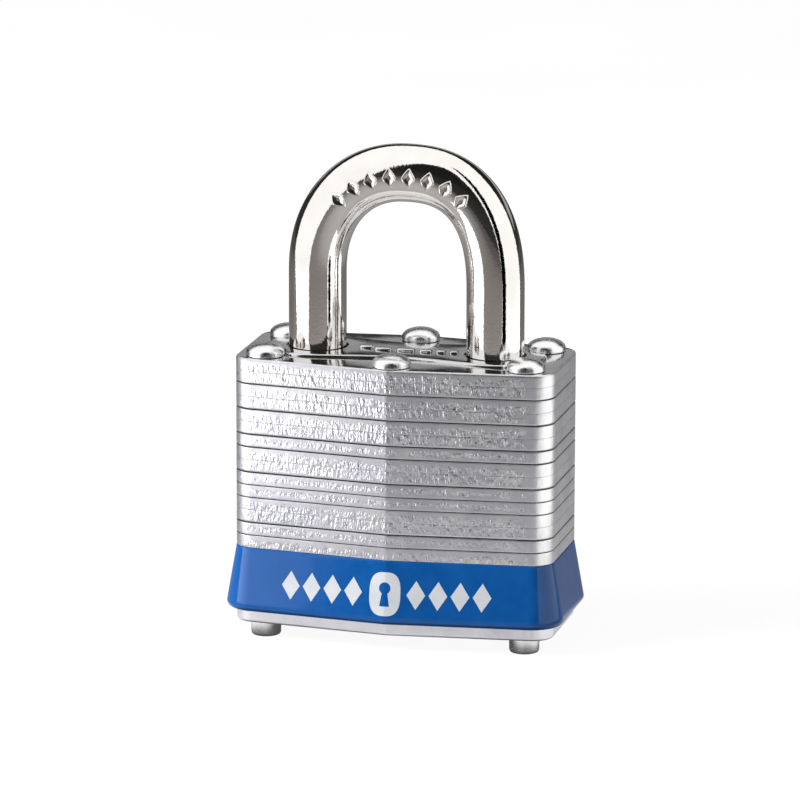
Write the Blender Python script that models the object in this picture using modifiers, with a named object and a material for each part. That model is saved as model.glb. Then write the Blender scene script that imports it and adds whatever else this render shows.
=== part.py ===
"""Laminated padlock with a keyed cylinder.

Metres, +Z up. The front ridge of the body faces -Y, and the origin is centred under the body at
the level of the rivet ends that it stands on. The shackle's heel leg is at -X and its toe leg at
+X. The lock is modelled closed, with the pins at the shear line and the plug turned to the open
position, so that each moving piece is free to travel: turning the plug by -90 degrees shoots the
two levers into the shackle.

The named sizes below are in millimetres. MM turns them into metres where a shape is made.
"""

import math

import bmesh
import bpy
from mathutils import Vector

MM = 0.001

# Plan of the laminated body: a long hexagon with a shallow ridge down the front and the back.
BODY_WIDTH = 40.0
BODY_SIDE_DEPTH = 15.8
RIDGE_RISE = 2.05
CORNER_RADIUS = 2.7
RIDGE_RADIUS = 1.0
CORNER_STEPS = 4
RIDGE_STEPS = 1

# The stack of plates.
PLATE_COUNT = 21
PLATE_PITCH = 1.5875
PLATE_GAP = 0.05
STUD_DROP = 2.0
BANDED_PLATES = range(1, 6)
BAND_SEAT_INSET = 0.5

# Raised middle of the top plate: a quarter of its edge, from the middle round to the side.
PANEL_RISE = 0.4
PANEL_EDGE = ((0, 3.9), (2.5, 4.0), (9.0, 5.2), (12.6, 5.6), (13.8, 5.15), (14.5, 3.5), (17.5, 2.5))

# Bumper band.
BAND_WALL = 0.42
BAND_FLARE = 1.3
BAND_EDGE_RADIUS = 0.45

# Rivets.
CORNER_RIVET_X = 16.35
CORNER_RIVET_Y = 5.55
CENTRE_RIVET_Y = 7.45
RIVET_RADIUS = 1.6
RIVET_HOLE_RADIUS = 1.85
RIVET_HEAD_RADIUS = 2.4
RIVET_HEAD_HEIGHT = 1.5
STUD_RADIUS = 1.85
STUD_CHAMFER = 0.3
RIVET_STEPS = 16

# Shackle.
LEG_X = 11.2
BAR_RADIUS = 3.55
ARCH_TOP_ABOVE_BODY = 22.45
HEEL_BEND_ABOVE_BODY = 9.8
HEEL_BEND_FULLNESS = 0.93
TOE_BEND_ABOVE_BODY = 8.1
TOE_BEND_FULLNESS = 0.8
TOE_LENGTH_IN_BODY = 10.85
SHACKLE_TRAVEL = 12.5
HEEL_BELOW_GROOVE = 2.0
LEG_HOLE_RADIUS = 3.85
NOTCH_DEPTH = 1.75
NOTCH_CLEARANCE = 0.1
ARCH_STEPS = 20

# Locking levers, in the chamber that two of the plates leave open.
LEVER_PLATES = (16, 17)
LEVER_END_PLAY = 0.1
LEVER_NOSE_X = 7.5
LEVER_NOSE_Y = 2.6
LEVER_SHOULDER_X = 6.65
LEVER_BACK_X = 5.6
LEVER_ARM_Y = 3.05
LEVER_SIDE_Y = 4.4
LEVER_HOOK_X = 3.0
LEVER_HOOK_WIDTH = 0.9
LEVER_HOOK_Y = -0.8
CHAMBER_X = 9.0
CHAMBER_Y = 4.75

# Cylinder: plug, housing and cam.
PLUG_RADIUS = 3.8
PLUG_BORE_RADIUS = 3.93
PLUG_FACE_HOLE_RADIUS = 3.95
HOUSING_RADIUS = 5.15
HOUSING_PLATES = range(1, 13)
HOUSING_HOLE_RADIUS = 5.35
PIN_BLOCK_Y = 2.6
PIN_BLOCK_X = 12.2
PIN_SLOT_Y = 2.8
PIN_SLOT_X = 13.4
COVER_THICKNESS = 0.8
CYLINDER_GAP = 0.1
CAM_DISC_PLATE = 13
CAM_DISC_RADIUS = 3.8
CAM_DISC_HOLE_RADIUS = 4.1
CAM_STEM_PLATES = (14, 15)
CAM_STEM_RADIUS = 2.0
CAM_STEM_HOLE_RADIUS = 2.3
CAM_STEM_TOP_GAP = 0.1
CAM_NECK_RADIUS = 0.7
CAM_NECK_DEPTH = 0.5
CAM_HALF_LENGTH = 2.6
CAM_HALF_WIDTH = 0.8
FIRST_TOE_PLATE = 14

# Keyway, pins and pin springs. The pins lie along +X, one above another.
KEYWAY = ((-3.1, -0.8), (-0.9, -0.8), (-0.5, -0.2), (0.9, -0.2), (1.3, -0.8), (2.6, -0.8),
          (2.6, 0.2), (1.3, 0.2), (0.9, 0.8), (-0.5, 0.8), (-0.9, 0.2), (-3.1, 0.2))
KEYWAY_DEPTH = 18.5
PIN_HEIGHTS = (6.4, 10.4, 14.4, 18.4)
PIN_RADIUS = 1.1
PIN_HOLE_RADIUS = 1.22
PIN_CHAMFER = 0.35
PIN_STEPS = 12
KEY_PIN_LENGTHS = (3.0, 3.9, 3.4, 4.4)
KEY_PIN_END_X = 3.6
KEY_PIN_HOLE_X = -2.4
DRIVER_START_X = 3.88
DRIVER_LENGTH = 3.3

# Springs.
PIN_SPRING_COIL_RADIUS = 0.8
PIN_SPRING_WIRE = 0.13
PIN_SPRING_TURNS = 4
SHACKLE_SPRING_COIL_RADIUS = 2.6
SHACKLE_SPRING_WIRE = 0.35
SHACKLE_SPRING_TURNS = 5
LEVER_SPRING_COIL_RADIUS = 0.7
LEVER_SPRING_WIRE = 0.14
LEVER_SPRING_TURNS = 3
LEVER_SPRING_Y = 1.2
SPRING_END_GAP = 0.12

ROUND_STEPS = 32
LEG_HOLE_STEPS = 12
KEYHOLE_STEPS = 16
SMALL_HOLE_STEPS = 8
QUARTER_TURN = math.radians(90)

STACK_BOTTOM = STUD_DROP
STACK_TOP = STUD_DROP + PLATE_COUNT * PLATE_PITCH


def plate_bottom(index):
    """Height of the underside of a plate, counted from the bottom plate, which is 0."""
    return STACK_BOTTOM + index * PLATE_PITCH


def plate_top(index):
    """Height of the upper side of a plate, which leaves the gap to the next one."""
    return plate_bottom(index + 1) - PLATE_GAP


LEVER_BOTTOM = plate_bottom(LEVER_PLATES[0]) + LEVER_END_PLAY
LEVER_TOP = plate_top(LEVER_PLATES[-1]) - LEVER_END_PLAY
TOE_END_Z = STACK_TOP - TOE_LENGTH_IN_BODY
GROOVE_BOTTOM = LEVER_BOTTOM - SHACKLE_TRAVEL - NOTCH_CLEARANCE
GROOVE_TOP = LEVER_TOP - SHACKLE_TRAVEL + NOTCH_CLEARANCE
HEEL_END_Z = GROOVE_BOTTOM - HEEL_BELOW_GROOVE
HOUSING_BOTTOM = plate_bottom(HOUSING_PLATES[0]) + CYLINDER_GAP
HOUSING_TOP = plate_top(HOUSING_PLATES[-1]) - CYLINDER_GAP
CAM_BOTTOM = HOUSING_TOP + CYLINDER_GAP


# ---------------------------------------------------------------- scene and materials


def clear_scene():
    for existing in list(bpy.data.objects):
        bpy.data.objects.remove(existing, do_unlink=True)


def new_collection(name):
    collection = bpy.data.collections.new(name)
    bpy.context.scene.collection.children.link(collection)
    return collection


def make_material(name, color, roughness, metallic):
    material = bpy.data.materials.new(name)
    material.use_nodes = True
    shader = material.node_tree.nodes["Principled BSDF"]
    shader.inputs["Base Color"].default_value = (*color, 1.0)
    shader.inputs["Roughness"].default_value = roughness
    shader.inputs["Metallic"].default_value = metallic
    material.diffuse_color = (*color, 1.0)
    return material


def add_object(name, data, collection, material=None):
    new_object = bpy.data.objects.new(name, data)
    collection.objects.link(new_object)
    if material:
        data.materials.append(material)
    return new_object


def hide_cutter(cutter):
    cutter.hide_render = True
    cutter.display_type = "WIRE"


# ---------------------------------------------------------------- outlines, in millimetres


def arc(centre, radius, start_degrees, end_degrees, steps):
    """Points on an arc, both ends included."""
    points = []
    for step in range(steps + 1):
        angle = math.radians(start_degrees + (end_degrees - start_degrees) * step / steps)
        x = centre[0] + radius * math.cos(angle)
        y = centre[1] + radius * math.sin(angle)
        points.append((x, y))
    return points


def circle(centre, radius, steps):
    """A closed polygon with its flats square to the axes."""
    half_step = 180 / steps
    return arc(centre, radius, half_step, 360 - half_step, steps - 1)


def rounded(corners, radii, steps):
    """A closed polygon whose corners are replaced by arcs."""
    points = []
    for index, corner in enumerate(corners):
        here = Vector(corner)
        to_last = (Vector(corners[index - 1]) - here).normalized()
        to_next = (Vector(corners[(index + 1) % len(corners)]) - here).normalized()
        half_angle = to_last.angle(to_next) / 2
        radius = radii[index]
        centre = here + (to_last + to_next).normalized() * radius / math.sin(half_angle)
        tangent_length = radius / math.tan(half_angle)
        first = here + to_last * tangent_length - centre
        last = here + to_next * tangent_length - centre
        start = math.degrees(math.atan2(first.y, first.x))
        sweep = math.degrees(math.atan2(last.y, last.x)) - start
        sweep = (sweep + 180) % 360 - 180
        points += arc(centre, radius, start, start + sweep, steps[index])
    return points


def body_outline(offset=0.0):
    """The plan of the body, moved outwards by offset all round."""
    slope = RIDGE_RISE / (BODY_WIDTH / 2)
    half_width = BODY_WIDTH / 2 + offset
    ridge_y = BODY_SIDE_DEPTH / 2 + RIDGE_RISE + offset * math.hypot(1, slope)
    corner_y = ridge_y - half_width * slope
    front = [(-half_width, -corner_y), (0, -ridge_y), (half_width, -corner_y)]
    back = [(-x, -y) for x, y in front]
    radii = [CORNER_RADIUS + offset, RIDGE_RADIUS, CORNER_RADIUS + offset] * 2
    return rounded(front + back, radii, [CORNER_STEPS, RIDGE_STEPS, CORNER_STEPS] * 2)


def keyhole_outline(radius, slot_y, slot_x):
    """A circle on the axis with a square slot towards +X, for the cylinder housing."""
    angle = math.degrees(math.asin(slot_y / radius))
    points = arc((0, 0), radius, angle, 360 - angle, KEYHOLE_STEPS)
    return points + [(slot_x, -slot_y), (slot_x, slot_y)]


def lever_chamber_outline():
    """A rectangle that runs into both leg holes."""
    reach = LEG_X - CHAMBER_X
    angle = 180 - math.degrees(math.acos(reach / LEG_HOLE_RADIUS))
    right = arc((LEG_X, 0), LEG_HOLE_RADIUS, -angle, angle, LEG_HOLE_STEPS - 2)
    half = [(CHAMBER_X, -CHAMBER_Y), *right, (CHAMBER_X, CHAMBER_Y)]
    return half + [(-x, -y) for x, y in half]


def panel_outline():
    """The raised middle of the top plate, cut back round the rivet heads."""
    right = [(x, -y) for x, y in PANEL_EDGE]
    left = [(-x, y) for x, y in reversed(right[1:])]
    return left + right + [(-x, -y) for x, y in left + right]


def stadium_outline(half_length, half_width, steps):
    right = arc((half_length - half_width, 0), half_width, -90, 90, steps)
    return right + [(-x, -y) for x, y in right]


# ---------------------------------------------------------------- shapes


def flat_piece(name, outlines, bottom, top, collection, material=None):
    """A plate: the first outline is its edge, and the others are holes."""
    curve = bpy.data.curves.new(name, "CURVE")
    curve.dimensions = "2D"
    curve.fill_mode = "BOTH"
    curve.extrude = (top - bottom) / 2 * MM
    for outline in outlines:
        spline = curve.splines.new("POLY")
        spline.points.add(len(outline) - 1)
        spline.use_cyclic_u = True
        for point, (x, y) in zip(spline.points, outline):
            point.co = (x * MM, y * MM, 0, 1)
    piece = add_object(name, curve, collection, material)
    piece.location.z = (top + bottom) / 2 * MM
    return piece


def tube_piece(name, points, radius, bevel_resolution, collection, material=None):
    """A round bar or wire along a line of points, in millimetres."""
    curve = bpy.data.curves.new(name, "CURVE")
    curve.dimensions = "3D"
    curve.bevel_depth = radius * MM
    curve.bevel_resolution = bevel_resolution
    curve.use_fill_caps = True
    spline = curve.splines.new("POLY")
    spline.points.add(len(points) - 1)
    for point, position in zip(spline.points, points):
        point.co = (*(value * MM for value in position), 1)
    return add_object(name, curve, collection, material)


def turned_piece(name, profile, steps, collection, material=None, closed=False):
    """A solid turned about its own Z axis from (radius, height) points, top to bottom."""
    mesh = bpy.data.meshes.new(name)
    shape = bmesh.new()
    vertices = [shape.verts.new((radius * MM, 0, height * MM)) for radius, height in profile]
    for first, second in zip(vertices, vertices[1:]):
        shape.edges.new((first, second))
    if closed:
        shape.edges.new((vertices[-1], vertices[0]))
    shape.to_mesh(mesh)
    shape.free()
    piece = add_object(name, mesh, collection, material)
    screw = piece.modifiers.new("Turn", "SCREW")
    screw.axis = "Z"
    screw.angle = math.radians(360)
    screw.steps = steps
    screw.render_steps = steps
    screw.use_merge_vertices = True
    screw.merge_threshold = 0.00001
    return piece


def cylinder(name, radius, bottom, top, steps, collection, material=None):
    mesh = bpy.data.meshes.new(name)
    shape = bmesh.new()
    bmesh.ops.create_cone(shape, cap_ends=True, segments=steps, radius1=radius * MM,
                          radius2=radius * MM, depth=(top - bottom) * MM)
    shape.to_mesh(mesh)
    shape.free()
    piece = add_object(name, mesh, collection, material)
    piece.location.z = (top + bottom) / 2 * MM
    return piece


def box(name, low, high, collection, material=None):
    mesh = bpy.data.meshes.new(name)
    shape = bmesh.new()
    bmesh.ops.create_cube(shape, size=1)
    sides = [(b - a) * MM for a, b in zip(low, high)]
    bmesh.ops.scale(shape, vec=sides, verts=shape.verts)
    shape.to_mesh(mesh)
    shape.free()
    piece = add_object(name, mesh, collection, material)
    piece.location = [(a + b) / 2 * MM for a, b in zip(low, high)]
    return piece


def ring_loft(name, sections, collection, material=None):
    """A closed band: each section is a ring of points, and the last one meets the first."""
    shape = bmesh.new()
    rings = []
    for section in sections:
        ring = [shape.verts.new([value * MM for value in point]) for point in section]
        rings.append(ring)
    for ring, next_ring in zip(rings, rings[1:] + rings[:1]):
        for here in range(len(ring)):
            there = (here + 1) % len(ring)
            shape.faces.new((ring[here], ring[there], next_ring[there], next_ring[here]))
    mesh = bpy.data.meshes.new(name)
    shape.to_mesh(mesh)
    shape.free()
    return add_object(name, mesh, collection, material)


def to_mesh_object(source, collection):
    """Replaces a curve object with a welded mesh object that modifiers can cut."""
    name = source.name
    bpy.context.view_layer.update()
    graph = bpy.context.evaluated_depsgraph_get()
    mesh = bpy.data.meshes.new_from_object(source.evaluated_get(graph))
    shape = bmesh.new()
    shape.from_mesh(mesh)
    bmesh.ops.remove_doubles(shape, verts=shape.verts, dist=0.000001)
    bmesh.ops.recalc_face_normals(shape, faces=shape.faces)
    shape.to_mesh(mesh)
    shape.free()
    matrix = source.matrix_world.copy()
    bpy.data.objects.remove(source, do_unlink=True)
    result = bpy.data.objects.new(name, mesh)
    collection.objects.link(result)
    result.matrix_world = matrix
    mesh.name = name
    return result


def combine(target, other, operation):
    """Joins other to target, or cuts it out, and leaves other as a hidden guide."""
    hide_cutter(other)
    modifier = target.modifiers.new(other.name, "BOOLEAN")
    modifier.operation = operation
    modifier.object = other


def lie_along_x(piece, x, height):
    """Turns a piece made along Z so that it runs towards +X from x at a height."""
    piece.rotation_euler.y = QUARTER_TURN
    piece.location = (x * MM, 0, height * MM)


def coil_points(radius, turns, length, points_per_turn):
    points = []
    for step in range(turns * points_per_turn + 1):
        angle = math.tau * step / points_per_turn
        height = length * step / (turns * points_per_turn)
        points.append((radius * math.cos(angle), radius * math.sin(angle), height))
    return points


def spring(name, coil_radius, wire_radius, turns, length, points_per_turn, parts, steel):
    """A coil along its own Z axis whose wire fills the given length."""
    points = coil_points(coil_radius, turns, length - 2 * wire_radius, points_per_turn)
    lifted = [(x, y, z + wire_radius) for x, y, z in points]
    return tube_piece(name, lifted, wire_radius, 1, parts, steel)


# ---------------------------------------------------------------- laminated body


def rivet_positions():
    """Name and plan position of each rivet."""
    return [
        ("rivet_front_left", -CORNER_RIVET_X, -CORNER_RIVET_Y),
        ("rivet_front_centre", 0.0, -CENTRE_RIVET_Y),
        ("rivet_front_right", CORNER_RIVET_X, -CORNER_RIVET_Y),
        ("rivet_back_right", CORNER_RIVET_X, CORNER_RIVET_Y),
        ("rivet_back_centre", 0.0, CENTRE_RIVET_Y),
        ("rivet_back_left", -CORNER_RIVET_X, CORNER_RIVET_Y),
    ]


def plate_holes(index):
    holes = [circle((x, y), RIVET_HOLE_RADIUS, SMALL_HOLE_STEPS) for _, x, y in rivet_positions()]
    heel_hole = circle((-LEG_X, 0), LEG_HOLE_RADIUS, LEG_HOLE_STEPS)
    toe_hole = circle((LEG_X, 0), LEG_HOLE_RADIUS, LEG_HOLE_STEPS)
    if index == 0:
        return holes + [circle((0, 0), PLUG_FACE_HOLE_RADIUS, ROUND_STEPS)]
    if index in LEVER_PLATES:
        return holes + [lever_chamber_outline()]
    holes.append(heel_hole)
    if index >= FIRST_TOE_PLATE:
        holes.append(toe_hole)
    if index in HOUSING_PLATES:
        holes.append(keyhole_outline(HOUSING_HOLE_RADIUS, PIN_SLOT_Y, PIN_SLOT_X))
    if index == CAM_DISC_PLATE:
        holes.append(circle((0, 0), CAM_DISC_HOLE_RADIUS, LEG_HOLE_STEPS))
    if index in CAM_STEM_PLATES:
        holes.append(circle((0, 0), CAM_STEM_HOLE_RADIUS, LEG_HOLE_STEPS))
    return holes


def plate_name(index):
    if index == 0:
        return "bottom_plate"
    if index == PLATE_COUNT - 1:
        return "top_plate"
    return f"lamination_{index + 1:02d}"


def make_plates(parts, steel):
    for index in range(PLATE_COUNT - 1):
        inset = BAND_SEAT_INSET if index in BANDED_PLATES else 0.0
        outlines = [body_outline(-inset)] + plate_holes(index)
        flat_piece(plate_name(index), outlines, plate_bottom(index), plate_top(index), parts, steel)


def make_top_plate(parts, steel):
    """The top plate, whose middle is pressed up round the legs of the shackle."""
    index = PLATE_COUNT - 1
    low, high = plate_bottom(index), plate_top(index)
    raised = high + PANEL_RISE
    *rivet_holes, heel_hole, toe_hole = plate_holes(index)
    walls = [(outline, low, high) for outline in [body_outline(), *rivet_holes]]
    walls += [(panel_outline(), high, raised), (heel_hole, low, raised), (toe_hole, low, raised)]
    shape = bmesh.new()
    for outline, start, end in walls:
        foot = [shape.verts.new((x * MM, y * MM, start * MM)) for x, y in outline]
        head = [shape.verts.new((x * MM, y * MM, end * MM)) for x, y in outline]
        for here in range(len(outline)):
            there = (here + 1) % len(outline)
            shape.faces.new((foot[here], foot[there], head[there], head[here]))
    for level in (low, high, raised):
        rim = []
        for edge in shape.edges:
            if all(abs(vertex.co.z / MM - level) < 0.001 for vertex in edge.verts):
                rim.append(edge)
        bmesh.ops.triangle_fill(shape, use_beauty=True, edges=rim)
    bmesh.ops.recalc_face_normals(shape, faces=shape.faces)
    mesh = bpy.data.meshes.new("top_plate")
    shape.to_mesh(mesh)
    shape.free()
    add_object("top_plate", mesh, parts, steel)


def make_band(parts, plastic):
    """The bumper: flush with the plates at its top edge, flared and rounded at its bottom edge."""
    bottom = plate_bottom(BANDED_PLATES[0])
    top = plate_bottom(BANDED_PLATES[-1] + 1) - PLATE_GAP
    section = [
        (-BAND_WALL, bottom),
        (BAND_FLARE - BAND_EDGE_RADIUS, bottom),
        (BAND_FLARE, bottom + BAND_EDGE_RADIUS),
        (0.0, top),
        (-BAND_WALL, top),
    ]
    rings = []
    for offset, height in section:
        rings.append([(x, y, height) for x, y in body_outline(offset)])
    ring_loft("bumper_band", rings, parts, plastic)


def stud_profile():
    """The end of a corner rivet, upset below the bottom plate."""
    return [
        (RIVET_RADIUS, STACK_BOTTOM - PLATE_GAP),
        (STUD_RADIUS, STACK_BOTTOM - PLATE_GAP),
        (STUD_RADIUS, STUD_CHAMFER),
        (STUD_RADIUS - STUD_CHAMFER, 0),
        (0, 0),
    ]


def make_rivets(parts, steel):
    """Each rivet has a domed head on the top plate. The corner ones end in studs below."""
    head_bottom = STACK_TOP
    dome = [(RIVET_HEAD_RADIUS * math.cos(angle), RIVET_HEAD_HEIGHT * math.sin(angle))
            for angle in (math.radians(90 - 22.5 * step) for step in range(1, 5))]
    for name, x, y in rivet_positions():
        profile = [(0, head_bottom + RIVET_HEAD_HEIGHT)]
        profile += [(radius, head_bottom + rise) for radius, rise in dome]
        profile += [(RIVET_RADIUS, head_bottom)]
        profile += [(RIVET_RADIUS, STACK_BOTTOM), (0, STACK_BOTTOM)] if x == 0.0 else stud_profile()
        rivet = turned_piece(name, profile, RIVET_STEPS, parts, steel)
        rivet.location = (x * MM, y * MM, 0)


# ---------------------------------------------------------------- shackle and levers


def arch_line():
    """The bar's centreline over the top. The toe side bends lower down than the heel side."""
    points = []
    for step in range(ARCH_STEPS + 1):
        angle = math.pi * step / ARCH_STEPS
        on_heel_side = 2 * step < ARCH_STEPS
        start = HEEL_BEND_ABOVE_BODY if on_heel_side else TOE_BEND_ABOVE_BODY
        fullness = HEEL_BEND_FULLNESS if on_heel_side else TOE_BEND_FULLNESS
        rise = ARCH_TOP_ABOVE_BODY - start
        across = abs(math.cos(angle)) ** fullness
        x = -math.copysign(LEG_X * across, math.cos(angle))
        points.append((x, STACK_TOP + start + rise * math.sin(angle) ** fullness))
    return points


def make_shackle(parts, cutters, chrome):
    """One bent bar: notches for both levers, and a groove that keeps the heel in the body."""
    line = [(-LEG_X, HEEL_END_Z), *arch_line(), (LEG_X, TOE_END_Z)]
    points = [(x, 0, z) for x, z in line]
    bar = tube_piece("shackle", points, BAR_RADIUS, 6, parts)
    shackle = to_mesh_object(bar, parts)
    shackle.data.materials.clear()
    shackle.data.materials.append(chrome)

    notch_inner_x = LEG_X - BAR_RADIUS + NOTCH_DEPTH
    notch_bottom = LEVER_BOTTOM - NOTCH_CLEARANCE
    notch_top = LEVER_TOP + NOTCH_CLEARANCE
    low = (-notch_inner_x, -2 * BAR_RADIUS, notch_bottom)
    high = (notch_inner_x, 2 * BAR_RADIUS, notch_top)
    combine(shackle, box("notch_cutter", low, high, cutters), "DIFFERENCE")

    core_radius = BAR_RADIUS - NOTCH_DEPTH
    ring = [(2 * BAR_RADIUS, GROOVE_TOP), (2 * BAR_RADIUS, GROOVE_BOTTOM),
            (core_radius, GROOVE_BOTTOM), (core_radius, GROOVE_TOP)]
    groove = turned_piece("groove_cutter", ring, RIVET_STEPS, cutters, closed=True)
    groove.location.x = -LEG_X * MM
    combine(shackle, groove, "DIFFERENCE")


def make_levers(parts, steel):
    """Two hooked plates, one the half-turn of the other, that the cam draws inwards."""
    hook_back = LEVER_HOOK_X + LEVER_HOOK_WIDTH
    outline = [
        (-LEVER_NOSE_X, -LEVER_NOSE_Y),
        (-LEVER_BACK_X, -LEVER_NOSE_Y),
        (-LEVER_BACK_X, LEVER_ARM_Y),
        (LEVER_HOOK_X, LEVER_ARM_Y),
        (LEVER_HOOK_X, LEVER_HOOK_Y),
        (hook_back, LEVER_HOOK_Y),
        (hook_back, LEVER_SIDE_Y),
        (-LEVER_SHOULDER_X, LEVER_SIDE_Y),
        (-LEVER_SHOULDER_X, LEVER_NOSE_Y),
        (-LEVER_NOSE_X, LEVER_NOSE_Y),
    ]
    turned_outline = [(-x, -y) for x, y in outline]
    flat_piece("lever_left", [outline], LEVER_BOTTOM, LEVER_TOP, parts, steel)
    flat_piece("lever_right", [turned_outline], LEVER_BOTTOM, LEVER_TOP, parts, steel)


# ---------------------------------------------------------------- cylinder


def pin_hole_cutter(name, start_x, end_x, height, cutters):
    cutter = cylinder(name, PIN_HOLE_RADIUS, 0, end_x - start_x, PIN_STEPS, cutters)
    lie_along_x(cutter, (start_x + end_x) / 2, height)
    return cutter


def make_housing(parts, cutters, cast_metal):
    housing = cylinder("cylinder_housing", HOUSING_RADIUS, HOUSING_BOTTOM, HOUSING_TOP,
                       ROUND_STEPS, parts, cast_metal)
    low = (HOUSING_RADIUS / 2, -PIN_BLOCK_Y, HOUSING_BOTTOM)
    high = (PIN_BLOCK_X, PIN_BLOCK_Y, HOUSING_TOP)
    combine(housing, box("pin_block", low, high, cutters), "UNION")
    bore = cylinder("plug_bore_cutter", PLUG_BORE_RADIUS, HOUSING_BOTTOM - 1, HOUSING_TOP + 1,
                    ROUND_STEPS, cutters)
    combine(housing, bore, "DIFFERENCE")
    for number, height in enumerate(PIN_HEIGHTS, start=1):
        name = f"driver_hole_cutter_{number}"
        cutter = pin_hole_cutter(name, PLUG_RADIUS / 2, PIN_BLOCK_X + 1, height, cutters)
        combine(housing, cutter, "DIFFERENCE")

    low = (PIN_BLOCK_X + CYLINDER_GAP, -PIN_BLOCK_Y, HOUSING_BOTTOM)
    high = (PIN_BLOCK_X + CYLINDER_GAP + COVER_THICKNESS, PIN_BLOCK_Y, HOUSING_TOP)
    box("pin_chamber_cover", low, high, parts, cast_metal)


def make_plug(parts, cutters, brass):
    face = STACK_BOTTOM
    plug = cylinder("plug", PLUG_RADIUS, face, HOUSING_TOP, ROUND_STEPS, parts, brass)
    keyway = flat_piece("keyway_cutter", [KEYWAY], face - 1, face + KEYWAY_DEPTH, cutters)
    keyway = to_mesh_object(keyway, cutters)
    combine(plug, keyway, "DIFFERENCE")
    for number, height in enumerate(PIN_HEIGHTS, start=1):
        name = f"key_pin_hole_cutter_{number}"
        cutter = pin_hole_cutter(name, KEY_PIN_HOLE_X, PLUG_RADIUS + 1, height, cutters)
        combine(plug, cutter, "DIFFERENCE")


def make_cam(parts, cutters, brass):
    """The tail of the plug: a disc, a stem through two plates, and the cam between the hooks.

    A neck narrower than the cam joins it to the stem, which ends below the levers.
    """
    disc_top = plate_top(CAM_DISC_PLATE) - CYLINDER_GAP
    stem_top = plate_top(CAM_STEM_PLATES[-1]) - CAM_STEM_TOP_GAP
    neck_top = LEVER_BOTTOM + CAM_NECK_DEPTH
    profile = [(0, neck_top), (CAM_NECK_RADIUS, neck_top), (CAM_NECK_RADIUS, stem_top),
               (CAM_STEM_RADIUS, stem_top), (CAM_STEM_RADIUS, disc_top),
               (CAM_DISC_RADIUS, disc_top), (CAM_DISC_RADIUS, CAM_BOTTOM), (0, CAM_BOTTOM)]
    cam = turned_piece("cam", profile, ROUND_STEPS // 2, parts, brass)
    outline = stadium_outline(CAM_HALF_LENGTH, CAM_HALF_WIDTH, 6)
    stadium = flat_piece("cam_lobe", [outline], LEVER_BOTTOM, LEVER_TOP, cutters)
    stadium = to_mesh_object(stadium, cutters)
    combine(cam, stadium, "UNION")


def pin_profile(radius, length, inner_chamfer):
    """A pin along Z from 0, its rounded outer end, and its cone at the inner end."""
    return [
        (0, length),
        (radius - PIN_CHAMFER, length),
        (radius, length - PIN_CHAMFER),
        (radius, inner_chamfer),
        (radius - inner_chamfer, 0),
        (0, 0),
    ]


def make_pins(parts, brass, steel, spring_steel):
    spring_start = DRIVER_START_X + DRIVER_LENGTH + SPRING_END_GAP
    spring_length = PIN_BLOCK_X + CYLINDER_GAP - SPRING_END_GAP - spring_start
    for number, height in enumerate(PIN_HEIGHTS, start=1):
        length = KEY_PIN_LENGTHS[number - 1]
        profile = pin_profile(PIN_RADIUS, length, 2 * PIN_CHAMFER)
        key_pin = turned_piece(f"key_pin_{number}", profile, PIN_STEPS, parts, brass)
        lie_along_x(key_pin, KEY_PIN_END_X - length, height)

        profile = pin_profile(PIN_RADIUS, DRIVER_LENGTH, PIN_CHAMFER)
        driver = turned_piece(f"driver_pin_{number}", profile, PIN_STEPS, parts, steel)
        lie_along_x(driver, DRIVER_START_X, height)

        coil = spring(f"pin_spring_{number}", PIN_SPRING_COIL_RADIUS, PIN_SPRING_WIRE,
                      PIN_SPRING_TURNS, spring_length, 8, parts, spring_steel)
        lie_along_x(coil, spring_start, height)


# ---------------------------------------------------------------- springs


def make_shackle_spring(parts, spring_steel):
    start = plate_bottom(1) + SPRING_END_GAP
    length = HEEL_END_Z - SPRING_END_GAP - start
    coil = spring("shackle_spring", SHACKLE_SPRING_COIL_RADIUS, SHACKLE_SPRING_WIRE,
                  SHACKLE_SPRING_TURNS, length, 10, parts, spring_steel)
    coil.location = (-LEG_X * MM, 0, start * MM)


def make_lever_spring(parts, spring_steel):
    """It sits between the left lever's hook and the back of the right lever."""
    start = LEVER_HOOK_X + LEVER_HOOK_WIDTH + SPRING_END_GAP
    length = LEVER_BACK_X - SPRING_END_GAP - start
    coil = spring("lever_spring", LEVER_SPRING_COIL_RADIUS, LEVER_SPRING_WIRE,
                  LEVER_SPRING_TURNS, length, 8, parts, spring_steel)
    lie_along_x(coil, start, (LEVER_BOTTOM + LEVER_TOP) / 2)
    coil.location.y = LEVER_SPRING_Y * MM


def main():
    clear_scene()
    parts = new_collection("padlock")
    cutters = new_collection("cutters")
    plate_steel = make_material("plate_steel", (0.62, 0.62, 0.65), 0.38, 1.0)
    rivet_steel = make_material("rivet_steel", (0.66, 0.66, 0.67), 0.30, 1.0)
    chrome = make_material("chrome", (0.80, 0.79, 0.78), 0.08, 1.0)
    blue_plastic = make_material("blue_plastic", (0.01, 0.14, 0.42), 0.18, 0.0)
    brass = make_material("brass", (0.72, 0.52, 0.22), 0.30, 1.0)
    cast_metal = make_material("cast_metal", (0.45, 0.45, 0.47), 0.50, 1.0)
    lever_steel = make_material("lever_steel", (0.50, 0.50, 0.52), 0.35, 1.0)
    spring_steel = make_material("spring_steel", (0.40, 0.40, 0.42), 0.30, 1.0)

    make_plates(parts, plate_steel)
    make_top_plate(parts, plate_steel)
    make_band(parts, blue_plastic)
    make_rivets(parts, rivet_steel)
    make_shackle(parts, cutters, chrome)
    make_levers(parts, lever_steel)
    make_housing(parts, cutters, cast_metal)
    make_plug(parts, cutters, brass)
    make_cam(parts, cutters, brass)
    make_pins(parts, brass, lever_steel, spring_steel)
    make_shackle_spring(parts, spring_steel)
    make_lever_spring(parts, spring_steel)


main()
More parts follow.
